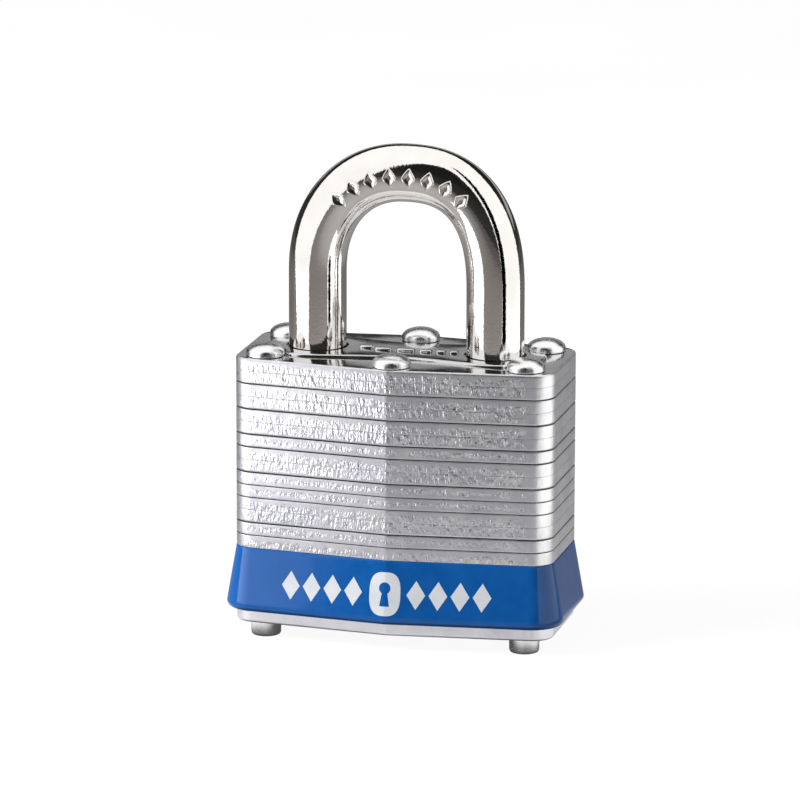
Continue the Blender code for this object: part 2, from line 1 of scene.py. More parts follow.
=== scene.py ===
"""Looks of a small laminated padlock: riveted steel plates, a chromed shackle and a blue bumper band.

Lengths are in millimetres and become metres where a mesh is made.
"""
import math

import bmesh
import bpy
import numpy as np
from mathutils import Matrix, Vector


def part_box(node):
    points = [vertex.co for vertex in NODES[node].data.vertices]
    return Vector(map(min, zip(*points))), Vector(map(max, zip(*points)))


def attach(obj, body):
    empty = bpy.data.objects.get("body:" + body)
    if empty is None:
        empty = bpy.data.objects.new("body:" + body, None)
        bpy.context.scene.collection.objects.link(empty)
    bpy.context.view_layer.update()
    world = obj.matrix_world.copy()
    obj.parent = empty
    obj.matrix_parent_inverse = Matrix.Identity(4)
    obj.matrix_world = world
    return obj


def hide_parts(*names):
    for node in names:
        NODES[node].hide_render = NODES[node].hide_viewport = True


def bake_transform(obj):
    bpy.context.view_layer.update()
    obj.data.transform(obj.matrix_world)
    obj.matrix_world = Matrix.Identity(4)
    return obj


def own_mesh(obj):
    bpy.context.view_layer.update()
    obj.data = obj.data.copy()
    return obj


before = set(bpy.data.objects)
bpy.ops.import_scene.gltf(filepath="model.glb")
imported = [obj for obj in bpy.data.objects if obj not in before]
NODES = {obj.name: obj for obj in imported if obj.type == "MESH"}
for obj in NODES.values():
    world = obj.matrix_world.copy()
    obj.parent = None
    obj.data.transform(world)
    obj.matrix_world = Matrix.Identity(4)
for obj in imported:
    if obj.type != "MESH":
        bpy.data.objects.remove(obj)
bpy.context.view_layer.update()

MM = 0.001

# ---- sizes shared with the CAD part

BODY_WIDTH = 40.0
BODY_SIDE_DEPTH = 15.8
RIDGE_RISE = 2.05
CORNER_RADIUS = 2.7
RIDGE_RADIUS = 1.0
PLATE_COUNT = 21
PLATE_PITCH = 1.5875
PLATE_GAP = 0.05
STACK_BOTTOM = 2.0
STACK_TOP = STACK_BOTTOM + PLATE_COUNT * PLATE_PITCH
FIRST_BARE_PLATE = 6

BAND_BOTTOM = STACK_BOTTOM + PLATE_PITCH
BAND_TOP = STACK_BOTTOM + FIRST_BARE_PLATE * PLATE_PITCH - PLATE_GAP
BAND_WALL = 0.42
BAND_FLARE = 1.3

RIVETS = {
    "rivet_front_left": (-16.35, -5.55),
    "rivet_front_centre": (0.0, -7.45),
    "rivet_front_right": (16.35, -5.55),
    "rivet_back_right": (16.35, 5.55),
    "rivet_back_centre": (0.0, 7.45),
    "rivet_back_left": (-16.35, 5.55),
}
RIVET_RADIUS = 1.6
HEAD_RADIUS = 2.4
HEAD_HEIGHT = 1.5
STUD_RADIUS = 1.85

# Each bend of the shackle has the height where it starts and a fullness. A fullness of 1 is a quarter
# of an ellipse, and less is fuller.
LEG_X = 11.2
BAR_RADIUS = 3.55
ARCH_TOP_Z = STACK_TOP + 22.45
HEEL_BEND = (STACK_TOP + 9.8, 0.93)
TOE_BEND = (STACK_TOP + 8.1, 0.8)
TOE_LENGTH_IN_BODY = 10.85
TOE_END_Z = STACK_TOP - TOE_LENGTH_IN_BODY
SHACKLE_TRAVEL = 12.5
NOTCH_DEPTH = 1.75
FIRST_LEVER_PLATE = 16
LEVER_PLATES = 2
NOTCH_BOTTOM = STACK_BOTTOM + FIRST_LEVER_PLATE * PLATE_PITCH
NOTCH_TOP = STACK_BOTTOM + (FIRST_LEVER_PLATE + LEVER_PLATES) * PLATE_PITCH - PLATE_GAP
GROOVE_BOTTOM = NOTCH_BOTTOM - SHACKLE_TRAVEL
GROOVE_TOP = NOTCH_TOP - SHACKLE_TRAVEL
HEEL_BELOW_GROOVE = 2.0
HEEL_END_Z = GROOVE_BOTTOM - HEEL_BELOW_GROOVE


# ---- meshes


def new_piece(name, vertices, faces, materials, sharp=35):
    """A mesh object from millimetre coordinates."""
    mesh = bpy.data.meshes.new(name)
    mesh.from_pydata([tuple(c * MM for c in v) for v in vertices], [], faces)
    return finish_piece(name, mesh, materials, sharp)


def finish_piece(name, mesh, materials, sharp=35):
    """An object around a mesh, shaded smooth except at edges past the sharp angle in degrees."""
    for material in materials:
        mesh.materials.append(material)
    mesh.validate()
    mesh.shade_smooth()
    mesh.set_sharp_from_angle(angle=math.radians(sharp))
    piece = bpy.data.objects.new(name, mesh)
    bpy.context.scene.collection.objects.link(piece)
    return piece


def turn_angles(steps):
    """Angles in even steps, once round."""
    return [2 * math.pi * k / steps for k in range(steps)]


def quarter_angles(steps):
    """Angles in even steps from zero to a quarter turn."""
    return [math.pi / 2 * k / steps for k in range(steps + 1)]


def ring_faces(count, rings, first=0, closed_tube=False):
    """Quads between neighbouring rings of count points each."""
    faces = []
    last = rings if closed_tube else rings - 1
    for ring in range(last):
        low = first + ring * count
        high = first + ((ring + 1) % rings) * count
        for i in range(count):
            j = (i + 1) % count
            faces.append((low + i, low + j, high + j, high + i))
    return faces


def capped_tube_faces(sides, rings):
    """Quads along a tube and one face over each end."""
    faces = ring_faces(sides, rings)
    faces.append(tuple(range(sides))[::-1])
    faces.append(tuple(range(sides * (rings - 1), sides * rings)))
    return faces


def lathe(profile, steps):
    """Vertices and faces of a turned solid. The profile starts and ends on the axis."""
    vertices = [(0, 0, profile[0][1])]
    for radius, z in profile[1:-1]:
        vertices += [(radius * math.cos(a), radius * math.sin(a), z) for a in turn_angles(steps)]
    vertices.append((0, 0, profile[-1][1]))
    rings = len(profile) - 2
    faces = ring_faces(steps, rings, first=1)
    end = len(vertices) - 1
    last_ring = 1 + (rings - 1) * steps
    for i in range(steps):
        j = (i + 1) % steps
        faces.append((0, 1 + j, 1 + i))
        faces.append((end, last_ring + i, last_ring + j))
    return vertices, faces


def moved(vertices, x, y=0.0):
    return [(a + x, b + y, c) for a, b, c in vertices]


def signed_power(value, power):
    return math.copysign(abs(value) ** power, value)


def bridge(work, low, high):
    """Quads between two loops with the same number of vertices, in their order."""
    count = len(low)
    return [work.faces.new((low[i], low[(i + 1) % count], high[(i + 1) % count], high[i]))
            for i in range(count)]


def fill_ends(work, middle):
    """Closes the open rims below and above a height in millimetres. Returns the new faces."""
    faces = []
    for is_top in (False, True):
        rim = [e for e in work.edges if len(e.link_faces) == 1
               and all((v.co.z > middle * MM) == is_top for v in e.verts)]
        filled = bmesh.ops.triangle_fill(work, use_beauty=True, edges=rim)
        faces += [f for f in filled["geom"] if isinstance(f, bmesh.types.BMFace)]
    return faces


def merge(parts):
    """One mesh from several bmeshes, which are freed."""
    mesh = bpy.data.meshes.new("merged")
    total = bmesh.new()
    for part in parts:
        part.to_mesh(mesh)
        part.free()
        total.from_mesh(mesh)
    total.to_mesh(mesh)
    total.free()
    return mesh


def cut_away(target, cutter):
    """Takes another object's volume out of the target. The other object is then removed."""
    modifier = target.modifiers.new("cut", "BOOLEAN")
    modifier.operation = "DIFFERENCE"
    modifier.object = cutter
    modifier.solver = "EXACT"
    graph = bpy.context.evaluated_depsgraph_get()
    result = bpy.data.meshes.new_from_object(target.evaluated_get(graph))
    target.modifiers.clear()
    target.data = result
    bpy.data.objects.remove(cutter)


def distances(points):
    """How far along a line of points each of them lies."""
    steps = np.linalg.norm(np.diff(points, axis=0), axis=1)
    return np.concatenate([[0], np.cumsum(steps)])


def line_tangents(line):
    tangents = np.gradient(line, axis=0)
    return tangents / np.linalg.norm(tangents, axis=1)[:, None]


# ---- plan of the body

# Points on each rounded corner and on the straight run after it, from the front left corner on.
ARC_POINTS = (26, 4, 26, 26, 4, 26)
RUN_POINTS = (110, 110, 70, 110, 110, 70)


def corner_arc(corners, index, radius, count):
    """Points on the arc that rounds one corner of a closed outline."""
    here = Vector(corners[index])
    to_last = (Vector(corners[index - 1]) - here).normalized()
    to_next = (Vector(corners[(index + 1) % len(corners)]) - here).normalized()
    half_angle = to_last.angle(to_next) / 2
    centre = here + (to_last + to_next).normalized() * radius / math.sin(half_angle)
    reach = radius / math.tan(half_angle)
    first = here + to_last * reach - centre
    last = here + to_next * reach - centre
    start = math.atan2(first.y, first.x)
    sweep = math.atan2(last.y, last.x) - start
    sweep = (sweep + math.pi) % (2 * math.pi) - math.pi
    angles = [start + sweep * k / (count - 1) for k in range(count)]
    return [centre + radius * Vector((math.cos(a), math.sin(a))) for a in angles]


def body_outline(offset=0.0):
    """The body's plan moved outwards by offset, always with the same number of points."""
    offset = float(offset)
    slope = RIDGE_RISE / (BODY_WIDTH / 2)
    half_width = BODY_WIDTH / 2 + offset
    ridge_y = BODY_SIDE_DEPTH / 2 + RIDGE_RISE + offset * math.hypot(1, slope)
    corner_y = ridge_y - half_width * slope
    front = [(-half_width, -corner_y), (0, -ridge_y), (half_width, -corner_y)]
    corners = front + [(-x, -y) for x, y in front]
    radii = [CORNER_RADIUS + offset, RIDGE_RADIUS, CORNER_RADIUS + offset] * 2
    arcs = [corner_arc(corners, k, radii[k], ARC_POINTS[k]) for k in range(6)]
    points = []
    for k in range(6):
        points += arcs[k]
        start, end = arcs[k][-1], arcs[(k + 1) % 6][0]
        count = RUN_POINTS[k] + 1
        points += [start.lerp(end, step / count) for step in range(1, count)]
    return np.array([tuple(p) for p in points])


OUTLINE = body_outline()
NORMALS = body_outline(1.0) - OUTLINE
NORMALS /= np.linalg.norm(NORMALS, axis=1)[:, None]
ALONG = distances(OUTLINE)
PERIMETER = ALONG[-1] + np.linalg.norm(OUTLINE[0] - OUTLINE[-1])


# ---- materials

PLASTIC_IOR = 1.42


def add_node(tree, kind, **values):
    """A new shader node with values for the inputs that are named."""
    node = tree.nodes.new("ShaderNode" + kind)
    for name, value in values.items():
        node.inputs[name].default_value = value
    return node


def node_material(name):
    """A new material with its tree, its shader and the object coordinates."""
    material = bpy.data.materials.new(name)
    material.use_nodes = True
    tree = material.node_tree
    shader = tree.nodes["Principled BSDF"]
    place = add_node(tree, "TexCoord").outputs["Object"]
    return material, tree, shader, place


def noise(tree, place, scale, detail=2.0, stretch=(1, 1, 1)):
    """A noise texture whose scale counts cells in a millimetre."""
    mapping = add_node(tree, "Mapping", Scale=[scale / MM * s for s in stretch])
    tree.links.new(place, mapping.inputs["Vector"])
    texture = add_node(tree, "TexNoise", Scale=1.0, Detail=detail)
    tree.links.new(mapping.outputs["Vector"], texture.inputs["Vector"])
    return texture.outputs["Fac"]


def ramp(tree, value, stops):
    """A colour ramp. Each stop is a position and a grey value or a colour."""
    node = add_node(tree, "ValToRGB")
    elements = node.color_ramp.elements
    while len(elements) < len(stops):
        elements.new(0.5)
    for element, (position, colour) in zip(elements, stops):
        element.position = position
        rgb = (colour,) * 3 if isinstance(colour, (int, float)) else colour
        element.color = (*rgb, 1)
    tree.links.new(value, node.inputs["Fac"])
    return node.outputs["Color"]


def bump(tree, shader, layers):
    """Stacks bump layers. Each is a height output, a strength and a depth in millimetres."""
    normal = None
    for height, strength, depth in layers:
        node = add_node(tree, "Bump", Strength=strength, Distance=depth * MM)
        tree.links.new(height, node.inputs["Height"])
        if normal is not None:
            tree.links.new(normal, node.inputs["Normal"])
        normal = node.outputs["Normal"]
    tree.links.new(normal, shader.inputs["Normal"])


def patchy(name, colours, roughness, bumps, cells, low, stretch=(1, 1, 1)):
    """A material whose tint and gloss vary in patches, with fine bumps, and its shader.

    colours and roughness are pairs, cells holds how many patches of each there are in a millimetre,
    low is how much of the noise has the first of a pair, and each bump is its cells in a millimetre,
    its strength and its depth.
    """
    material, tree, shader, place = node_material(name)
    tint = noise(tree, place, cells[0], 3)
    gloss = noise(tree, place, cells[1], 3, stretch)
    for value, pair, socket in ((tint, colours, "Base Color"), (gloss, roughness, "Roughness")):
        shade = ramp(tree, value, [(low, pair[0]), (1 - low, pair[1])])
        tree.links.new(shade, shader.inputs[socket])
    layers = [(noise(tree, place, scale, 2, stretch), strength, depth)
              for scale, strength, depth in bumps]
    bump(tree, shader, layers)
    return material, shader


def metal(name, colours, roughness, grain, bumps, stretch=(1, 1, 1)):
    material, shader = patchy(name, colours, roughness, bumps, (0.25, grain), 0.35, stretch)
    shader.inputs["Metallic"].default_value = 1.0
    return material


def plastic(name, colours, roughness, bumps):
    material, shader = patchy(name, colours, roughness, bumps, (0.4, 0.8), 0.3)
    shader.inputs["IOR"].default_value = PLASTIC_IOR
    return material


PLATE_EDGE = metal("plate_edge", ((0.78, 0.78, 0.84), (0.88, 0.88, 0.92)), (0.34, 0.44), 2.0,
                   [(2.6, 0.6, 0.03), (1.0, 0.3, 0.03)], stretch=(1, 1, 0.4))
PLATE_TORN = metal("plate_torn", ((0.82, 0.82, 0.89), (0.94, 0.94, 0.98)), (0.20, 0.32), 2.0,
                   [(3.1, 1.0, 0.125), (6.5, 1.0, 0.045)], stretch=(1, 1, 0.34))
# Darker steel for the rows beside deep joints: painted shade in the joints between plates.
PLATE_JOINT_SHADE = metal("plate_joint_painted_shade", ((0.38, 0.37, 0.39), (0.48, 0.47, 0.49)), (0.40, 0.55), 2.0,
                    [(2.6, 0.4, 0.02)])
PLATE_FACE = metal("plate_face", ((0.66, 0.66, 0.67), (0.74, 0.73, 0.73)), (0.10, 0.17), 0.8,
                   [(2.5, 0.25, 0.01)])
RIVET_STEEL = metal("rivet_steel_looks", ((0.92, 0.92, 0.94), (0.97, 0.96, 0.96)), (0.23, 0.31), 1.5,
                    [(1.6, 0.3, 0.012)])
CHROME = metal("chrome_looks", ((0.88, 0.85, 0.82), (0.94, 0.91, 0.88)), (0.05, 0.08), 0.8,
               [(1.3, 0.3, 0.006), (3.2, 0.6, 0.009)])
BLUE = plastic("blue_plastic_looks", ((0.004, 0.105, 0.40), (0.008, 0.125, 0.46)), (0.11, 0.18),
               [(1.0, 0.25, 0.02), (4.0, 0.2, 0.006)])
PRINT = plastic("white_print", ((0.74, 0.78, 0.84), (0.84, 0.87, 0.92)), (0.35, 0.45),
                [(3.0, 0.15, 0.01)])
BRASS = metal("brass_looks", ((0.72, 0.50, 0.22), (0.80, 0.58, 0.28)), (0.2, 0.34), 1.2,
              [(2.5, 0.25, 0.01)])
CAST = metal("cast_looks", ((0.48, 0.48, 0.49), (0.58, 0.58, 0.59)), (0.42, 0.58), 1.0,
             [(2.0, 0.5, 0.03)])
LEVER = metal("lever_looks", ((0.52, 0.51, 0.50), (0.62, 0.61, 0.60)), (0.28, 0.42), 1.0,
              [(2.4, 0.3, 0.015)], stretch=(1, 4, 1))
SPRING = metal("spring_looks", ((0.62, 0.61, 0.60), (0.72, 0.71, 0.70)), (0.2, 0.32), 2.0,
               [(3.0, 0.2, 0.01)])

SLOT_FINISHES = {"plate_steel": PLATE_EDGE, "rivet_steel": RIVET_STEEL, "chrome": CHROME,
                 "blue_plastic": BLUE, "brass": BRASS, "cast_metal": CAST, "lever_steel": LEVER,
                 "spring_steel": SPRING}


def finish_cad_nodes():
    """Gives every CAD node the finish that its material slot names."""
    for node in NODES.values():
        slots = node.data.materials
        for index, material in enumerate(slots):
            slots[index] = SLOT_FINISHES[material.name.split(".")[0]]


# ---- plates

# Joints counted down from the top of the stack: how far the edge above each is rolled under.
DEEP_JOINTS = {2: 0.20, 4: 0.24, 6: 0.24, 7: 0.20, 9: 0.24, 10: 0.12, 11: 0.13, 13: 0.24, 14: 0.13}
UPPER_ROLL_SHARE = 0.45
FAINT_JOINT = 0.04
FAINT_GAP = 0.008
OUTER_ROLL = 0.28
ROLL_ROWS = 4
FACE_ROWS = 12
# How many rows above and below a deep joint take the darker joint steel, as painted shade.
SHADED_ROWS_ABOVE_JOINT = 3
SHADED_ROWS_BELOW_JOINT = 2

# The torn zone has blurred borders, stands out in grains, and dies away towards the corners.
ZONE_BLUR = 0.10
TORN_RELIEF = 0.016
WAVE_RELIEF = 0.008
RIM_SHARE = 0.1
TORN_REACH_LEFT = 19.6
TORN_REACH_RIGHT = 17.9
TORN_FADE = 2.6
TORN_AT_CORNERS = 0.25
RAGGED_LIMIT = 0.45

PLATE_MATERIALS = [PLATE_EDGE, PLATE_FACE, PLATE_TORN, PLATE_JOINT_SHADE]
EDGE_SLOT, FACE_SLOT, TORN_SLOT, JOINT_SHADE_SLOT = range(4)


def edge_noise(heights, cell_along, cell_up, seed):
    """Smooth noise between -1 and 1 for each outline point and height, closed round the plate."""
    count_along = max(1, round(PERIMETER / cell_along))
    count_up = int((heights.max() - heights.min()) / cell_up) + 3
    grid = np.random.default_rng(seed).uniform(-1, 1, (count_along, count_up))
    a = ALONG / PERIMETER * count_along
    b = (heights - heights.min()) / cell_up
    a_low, b_low = np.floor(a).astype(int), np.floor(b).astype(int)
    s, t = a - a_low, b - b_low
    s, t = (s * s * (3 - 2 * s))[:, None], (t * t * (3 - 2 * t))[None, :]
    a_high, b_high = (a_low + 1) % count_along, b_low + 1
    a_low = a_low % count_along
    low = grid[np.ix_(a_low, b_low)] * (1 - s) + grid[np.ix_(a_high, b_low)] * s
    high = grid[np.ix_(a_low, b_high)] * (1 - s) + grid[np.ix_(a_high, b_high)] * s
    return low * (1 - t) + high * t


def plate_rows(thickness, roll_bottom, roll_top):
    """Height above the underside and inset of each row of points up the plate's edge."""
    turns = quarter_angles(ROLL_ROWS)[:-1]
    low = [(roll_bottom * (1 - math.cos(a)), roll_bottom * (1 - math.sin(a))) for a in turns]
    high = [(thickness - roll_top * (1 - math.cos(a)), roll_top * (1 - math.sin(a))) for a in turns]
    span = thickness - roll_bottom - roll_top
    face = [(roll_bottom + span * k / FACE_ROWS, 0.0) for k in range(FACE_ROWS + 1)]
    return low + face + high[::-1]


def hole_walls(node):
    """The CAD plate without its flat sides and its outer edge: the walls of its holes."""
    work = bmesh.new()
    work.from_mesh(node.data)
    bmesh.ops.remove_doubles(work, verts=work.verts, dist=0.01 * MM)
    flat = [f for f in work.faces if abs(f.normal.z) > 0.5]
    bmesh.ops.delete(work, geom=flat, context="FACES_ONLY")
    flat_edges = [e for e in work.edges if not e.link_faces]
    bmesh.ops.delete(work, geom=flat_edges, context="EDGES")
    start = min(work.verts, key=lambda v: v.co.x)
    outer, front = {start}, [start]
    while front:
        vertex = front.pop()
        for edge in vertex.link_edges:
            other = edge.other_vert(vertex)
            if other not in outer:
                outer.add(other)
                front.append(other)
    bmesh.ops.delete(work, geom=list(outer), context="VERTS")
    return work


def torn_zone(is_rolled_below, is_rolled_above):
    """The part of a plate's edge that was torn rather than cut, as shares of its thickness."""
    if is_rolled_below and is_rolled_above:
        return 0.25, 0.72
    if is_rolled_below:
        return 0.16, 1.05
    return (-0.05, 0.62) if is_rolled_above else (0.1, 0.9)


def plate_edge_shape(index):
    """A plate's thickness, the rolls of its lower and upper rim, and its torn zone."""
    above = PLATE_COUNT - 1 - index
    roll_top = DEEP_JOINTS.get(above, 0.0) * UPPER_ROLL_SHARE
    roll_bottom = DEEP_JOINTS.get(above + 1, 0.0)
    zone = torn_zone(roll_bottom > 0 or index == 0, roll_top > 0 or above == 0)
    gap = PLATE_GAP if roll_top > 0 or above == 0 else FAINT_GAP
    roll_top = OUTER_ROLL if above == 0 else max(roll_top, FAINT_JOINT)
    roll_bottom = OUTER_ROLL if index == 0 else max(roll_bottom, FAINT_JOINT)
    return PLATE_PITCH - gap, roll_bottom, roll_top, zone


def torn_amount(index, heights, thickness, zone):
    """How torn the plate's edge is, from 0 to 1, at each outline point and height."""
    share = heights / thickness
    start, end = zone
    shift = edge_noise(heights, 0.7, 9.0, 5 * index + 4) * ZONE_BLUR
    from_start = np.clip((share - start + shift) / ZONE_BLUR, 0, 1)
    to_end = np.clip((end + shift - share) / ZONE_BLUR, 0, 1)
    reach = np.where(OUTLINE[:, 0] > 0, TORN_REACH_RIGHT, TORN_REACH_LEFT)
    calm = np.clip((reach - np.abs(OUTLINE[:, 0])) / TORN_FADE, TORN_AT_CORNERS, 1)
    is_torn = 0 if index == 0 else 1
    return from_start * to_end * calm[:, None] * is_torn


def edge_relief(index, heights, thickness, torn):
    """How far the plate's edge stands out at each outline point and height."""
    amount = np.random.default_rng(100 + index).uniform(0.8, 1.15)
    rough = edge_noise(heights, 0.34, 0.7, 5 * index + 1)
    rough = rough + 0.4 * edge_noise(heights, 0.24, 0.36, 5 * index + 2)
    wavy = edge_noise(heights, 1.6, 2.0, 5 * index + 3)
    share = heights / thickness
    within = np.clip(share / RIM_SHARE, 0, 1) * np.clip((1 - share) / RIM_SHARE, 0, 1)
    return within * (torn * TORN_RELIEF * amount * rough + WAVE_RELIEF * wavy)


def plate_wall(work, index, rows, relief, is_ragged):
    """The faces round the plate's edge, each with its material slot."""
    bottom = STACK_BOTTOM + index * PLATE_PITCH
    rings = []
    for k, (height, inset) in enumerate(rows):
        ring = body_outline(-inset) + NORMALS * relief[:, k][:, None]
        z = (bottom + height) * MM
        rings.append([work.verts.new((x * MM, y * MM, z)) for x, y in ring])
    above = PLATE_COUNT - 1 - index
    # Rows next to a deep joint get the darker joint steel: painted shade in the joint.
    first_unshaded = SHADED_ROWS_ABOVE_JOINT if above + 1 in DEEP_JOINTS else 0
    first_shaded = len(rings) - 1 - (SHADED_ROWS_BELOW_JOINT if above in DEEP_JOINTS else 0)
    for k, (low, high) in enumerate(zip(rings, rings[1:])):
        is_unshaded = first_unshaded <= k < first_shaded
        for i, face in enumerate(bridge(work, low, high)):
            unshaded_slot = TORN_SLOT if is_ragged[i, k] else EDGE_SLOT
            face.material_index = unshaded_slot if is_unshaded else JOINT_SHADE_SLOT


def make_plate(node_name, index):
    """One plate: a rolled edge, then a smooth sheared zone and a torn zone."""
    thickness, roll_bottom, roll_top, zone = plate_edge_shape(index)
    rows = plate_rows(thickness, roll_bottom, roll_top)
    heights = np.array([height for height, _ in rows])
    torn = torn_amount(index, heights, thickness, zone)
    relief = edge_relief(index, heights, thickness, torn)
    ragged = torn * (1 + 0.9 * edge_noise(heights, 0.6, 0.4, 5 * index + 5))

    is_top_plate = index == PLATE_COUNT - 1
    work = hole_walls(NODES["lamination_20" if is_top_plate else node_name])
    if is_top_plate:
        bmesh.ops.translate(work, verts=work.verts, vec=(0, 0, PLATE_PITCH * MM))
    plate_wall(work, index, rows, relief, ragged > RAGGED_LIMIT)
    for face in fill_ends(work, STACK_BOTTOM + index * PLATE_PITCH + thickness / 2):
        face.material_index = FACE_SLOT
    bmesh.ops.recalc_face_normals(work, faces=work.faces)
    mesh = bpy.data.meshes.new(node_name + "_looks")
    work.to_mesh(mesh)
    work.free()
    piece = finish_piece(node_name + "_looks", mesh, PLATE_MATERIALS)
    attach(piece, "body")
    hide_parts(node_name)


def make_plates():
    """The bottom plate and the plates above the band. The CAD plates behind the band stay."""
    make_plate("bottom_plate", 0)
    for index in range(FIRST_BARE_PLATE, PLATE_COUNT - 1):
        make_plate(f"lamination_{index + 1:02d}", index)
    make_plate("top_plate", PLATE_COUNT - 1)


# ---- raised panel on the top plate

PANEL_EDGE = ((0, 3.9), (2.5, 4.0), (9.0, 5.2), (12.6, 5.6), (13.8, 5.15), (14.5, 3.5), (17.5, 2.5))
PANEL_BASE = STACK_TOP - PLATE_GAP
PANEL_RISE = 0.4
PANEL_ROUNDING = 0.3
PANEL_HOLE = 3.85
ROUNDING_STEPS = 4

# Each dash: the place of its middle, half its length and half its width.
DASHES = ((-4.9, -0.4, 0.9, 0.45), (-2.6, -1.0, 1.1, 0.5), (0.2, -0.9, 1.15, 0.5),
          (2.7, -0.9, 0.8, 0.5), (4.6, -0.8, 0.6, 0.5), (6.2, -0.7, 0.55, 0.45))
DASH_BASE = PANEL_BASE + PANEL_RISE - 0.02
DASH_RISE = 0.42
DASH_ROUNDING = 0.27
DASH_CORNER = 0.3


def panel_outline(inset):
    """The raised middle of the top plate with its corners rounded, drawn in by inset."""
    front = [(-x, -y) for x, y in reversed(PANEL_EDGE[1:])] + [(x, -y) for x, y in PANEL_EDGE]
    loop = np.array(front + [(-x, -y) for x, y in front])
    for _ in range(4):
        following = np.roll(loop, -1, axis=0)
        cut_corners = [0.75 * loop + 0.25 * following, 0.25 * loop + 0.75 * following]
        loop = np.stack(cut_corners, axis=1).reshape(-1, 2)
    run = np.roll(loop, -1, axis=0) - np.roll(loop, 1, axis=0)
    run /= np.linalg.norm(run, axis=1)[:, None]
    return [(x - inset * dy, y + inset * dx) for (x, y), (dx, dy) in zip(loop, run)]


def circle(x, y, radius):
    return [(x + radius * math.cos(a), y + radius * math.sin(a)) for a in turn_angles(48)]


def rounded_box_outline(half_x, half_y, radius):
    steps = 5
    points = []
    for turn, (sx, sy) in enumerate(((1, 1), (-1, 1), (-1, -1), (1, -1))):
        for k in range(steps + 1):
            angle = math.pi / 2 * (turn + k / steps)
            points.append((sx * (half_x - radius) + radius * math.cos(angle),
                           sy * (half_y - radius) + radius * math.sin(angle)))
    return points


def raised_shape(outline_at, holes, base, rise, rounding):
    """A low closed solid with a rounded upper edge. outline_at gives the plan for an inset."""
    work = bmesh.new()
    turns = quarter_angles(ROUNDING_STEPS)[1:]
    rows = [(0.0, 0.0), (rise - rounding, 0.0)]
    rows += [(rise - rounding + rounding * math.sin(a), rounding * (1 - math.cos(a))) for a in turns]
    loops = [[(x, y, base + z) for x, y in outline_at(inset)] for z, inset in rows]
    walls = [[work.verts.new(Vector(p) * MM) for p in loop] for loop in loops]
    for low, high in zip(walls, walls[1:]):
        bridge(work, low, high)
    for hole in holes:
        low = [work.verts.new(Vector((x, y, base)) * MM) for x, y in hole]
        high = [work.verts.new(Vector((x, y, base + rise)) * MM) for x, y in hole]
        bridge(work, low, high)
    fill_ends(work, base + rise / 2)
    bmesh.ops.recalc_face_normals(work, faces=work.faces)
    return work


def dash(x, y, half_x, half_y):
    """One plain raised dash with round corners."""
    def plan(inset):
        box = rounded_box_outline(half_x - inset, half_y - inset, DASH_CORNER - inset)
        return [(x + a, y + b) for a, b in box]

    return raised_shape(plan, [], DASH_BASE, DASH_RISE, DASH_ROUNDING)


def make_top_panel():
    """The pressed-up middle of the top plate, with a row of plain raised dashes on it."""
    holes = [circle(-LEG_X, 0, PANEL_HOLE), circle(LEG_X, 0, PANEL_HOLE)]
    parts = [raised_shape(panel_outline, holes, PANEL_BASE, PANEL_RISE, PANEL_ROUNDING)]
    parts += [dash(*place_and_size) for place_and_size in DASHES]
    piece = finish_piece("top_plate_panel", merge(parts), [PLATE_FACE])
    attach(piece, "body")


# ---- rivets

HEAD_RIM = 0.3
HEAD_RIM_INSET = 0.04
HEAD_FULLNESS = 0.92
HEAD_STEPS = 24
RIVET_SIDES = 56

# The stud's rounded end, as insets from its side at heights above its foot, and its hollow middle.
STUD_END = ((0, 0.4), (0.05, 0.2), (0.14, 0.08), (0.35, 0.01), (0.6, 0.0))
STUD_HOLLOW = 0.12


def head_profile():
    """A dome on a short rim, from its crown outwards and down to the plate."""
    points = [(0, STACK_TOP + HEAD_HEIGHT)]
    for k in range(1, HEAD_STEPS + 1):
        angle = math.pi / 2 * (1 - k / HEAD_STEPS)
        radius = (HEAD_RADIUS - HEAD_RIM_INSET) * math.cos(angle)
        rise = HEAD_RIM + (HEAD_HEIGHT - HEAD_RIM) * math.sin(angle) ** HEAD_FULLNESS
        points.append((radius, STACK_TOP + rise))
    rim = ((0, 0.6), (0.02, 0.2), (0.1, 0))
    return points + [(HEAD_RADIUS - inset, STACK_TOP + HEAD_RIM * share) for inset, share in rim]


def rivet_profile(has_stud):
    """Half of a rivet's section, from the crown of its head down."""
    profile = head_profile() + [(RIVET_RADIUS, STACK_TOP)]
    if not has_stud:
        return profile + [(RIVET_RADIUS, STACK_BOTTOM), (0, STACK_BOTTOM)]
    shoulder = STACK_BOTTOM - PLATE_GAP
    profile += [(RIVET_RADIUS, shoulder), (STUD_RADIUS, shoulder)]
    profile += [(STUD_RADIUS - inset, z) for inset, z in STUD_END]
    return profile + [(0, STUD_HOLLOW)]


def make_rivets():
    """Four corner rivets, whose studs the lock stands on, and two centre rivets without studs."""
    for name, (x, y) in RIVETS.items():
        vertices, faces = lathe(rivet_profile(has_stud=x != 0)[::-1], RIVET_SIDES)
        piece = new_piece(name + "_looks", moved(vertices, x, y), faces, [RIVET_STEEL])
        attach(piece, "body")
        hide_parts(name)


# ---- bumper band and its print

BAND_FULL_ABOVE_BOTTOM = 0.45
BAND_EDGE = 0.75
BAND_EDGE_STEPS = 8

PRINT_CENTRE_Z = 7.45
PRINT_FACE_LIFT = 0.02
PRINT_BACK_LIFT = -0.03
KEYHOLE_RADIUS = 0.72
KEYHOLE_HALF_FOOT = 0.62
KEYHOLE_FOOT_DROP = 1.5
KEY_PLATE_HALF_X = 1.95
KEY_PLATE_HALF_Z = 2.65
KEY_PLATE_SQUARENESS = 0.7
RHOMBUS_PLACES = (3.95, 6.65, 9.35, 12.05)
RHOMBUS_HALF_X = 1.15
RHOMBUS_HALF_Z = 1.75
RHOMBUS_SHIFT = 0.1


def band_offset(z):
    """How far the band's outer face stands off the body's plan at a height."""
    share = (BAND_TOP - z) / (BAND_TOP - BAND_BOTTOM - BAND_FULL_ABOVE_BOTTOM)
    return BAND_FLARE * min(1.0, share)


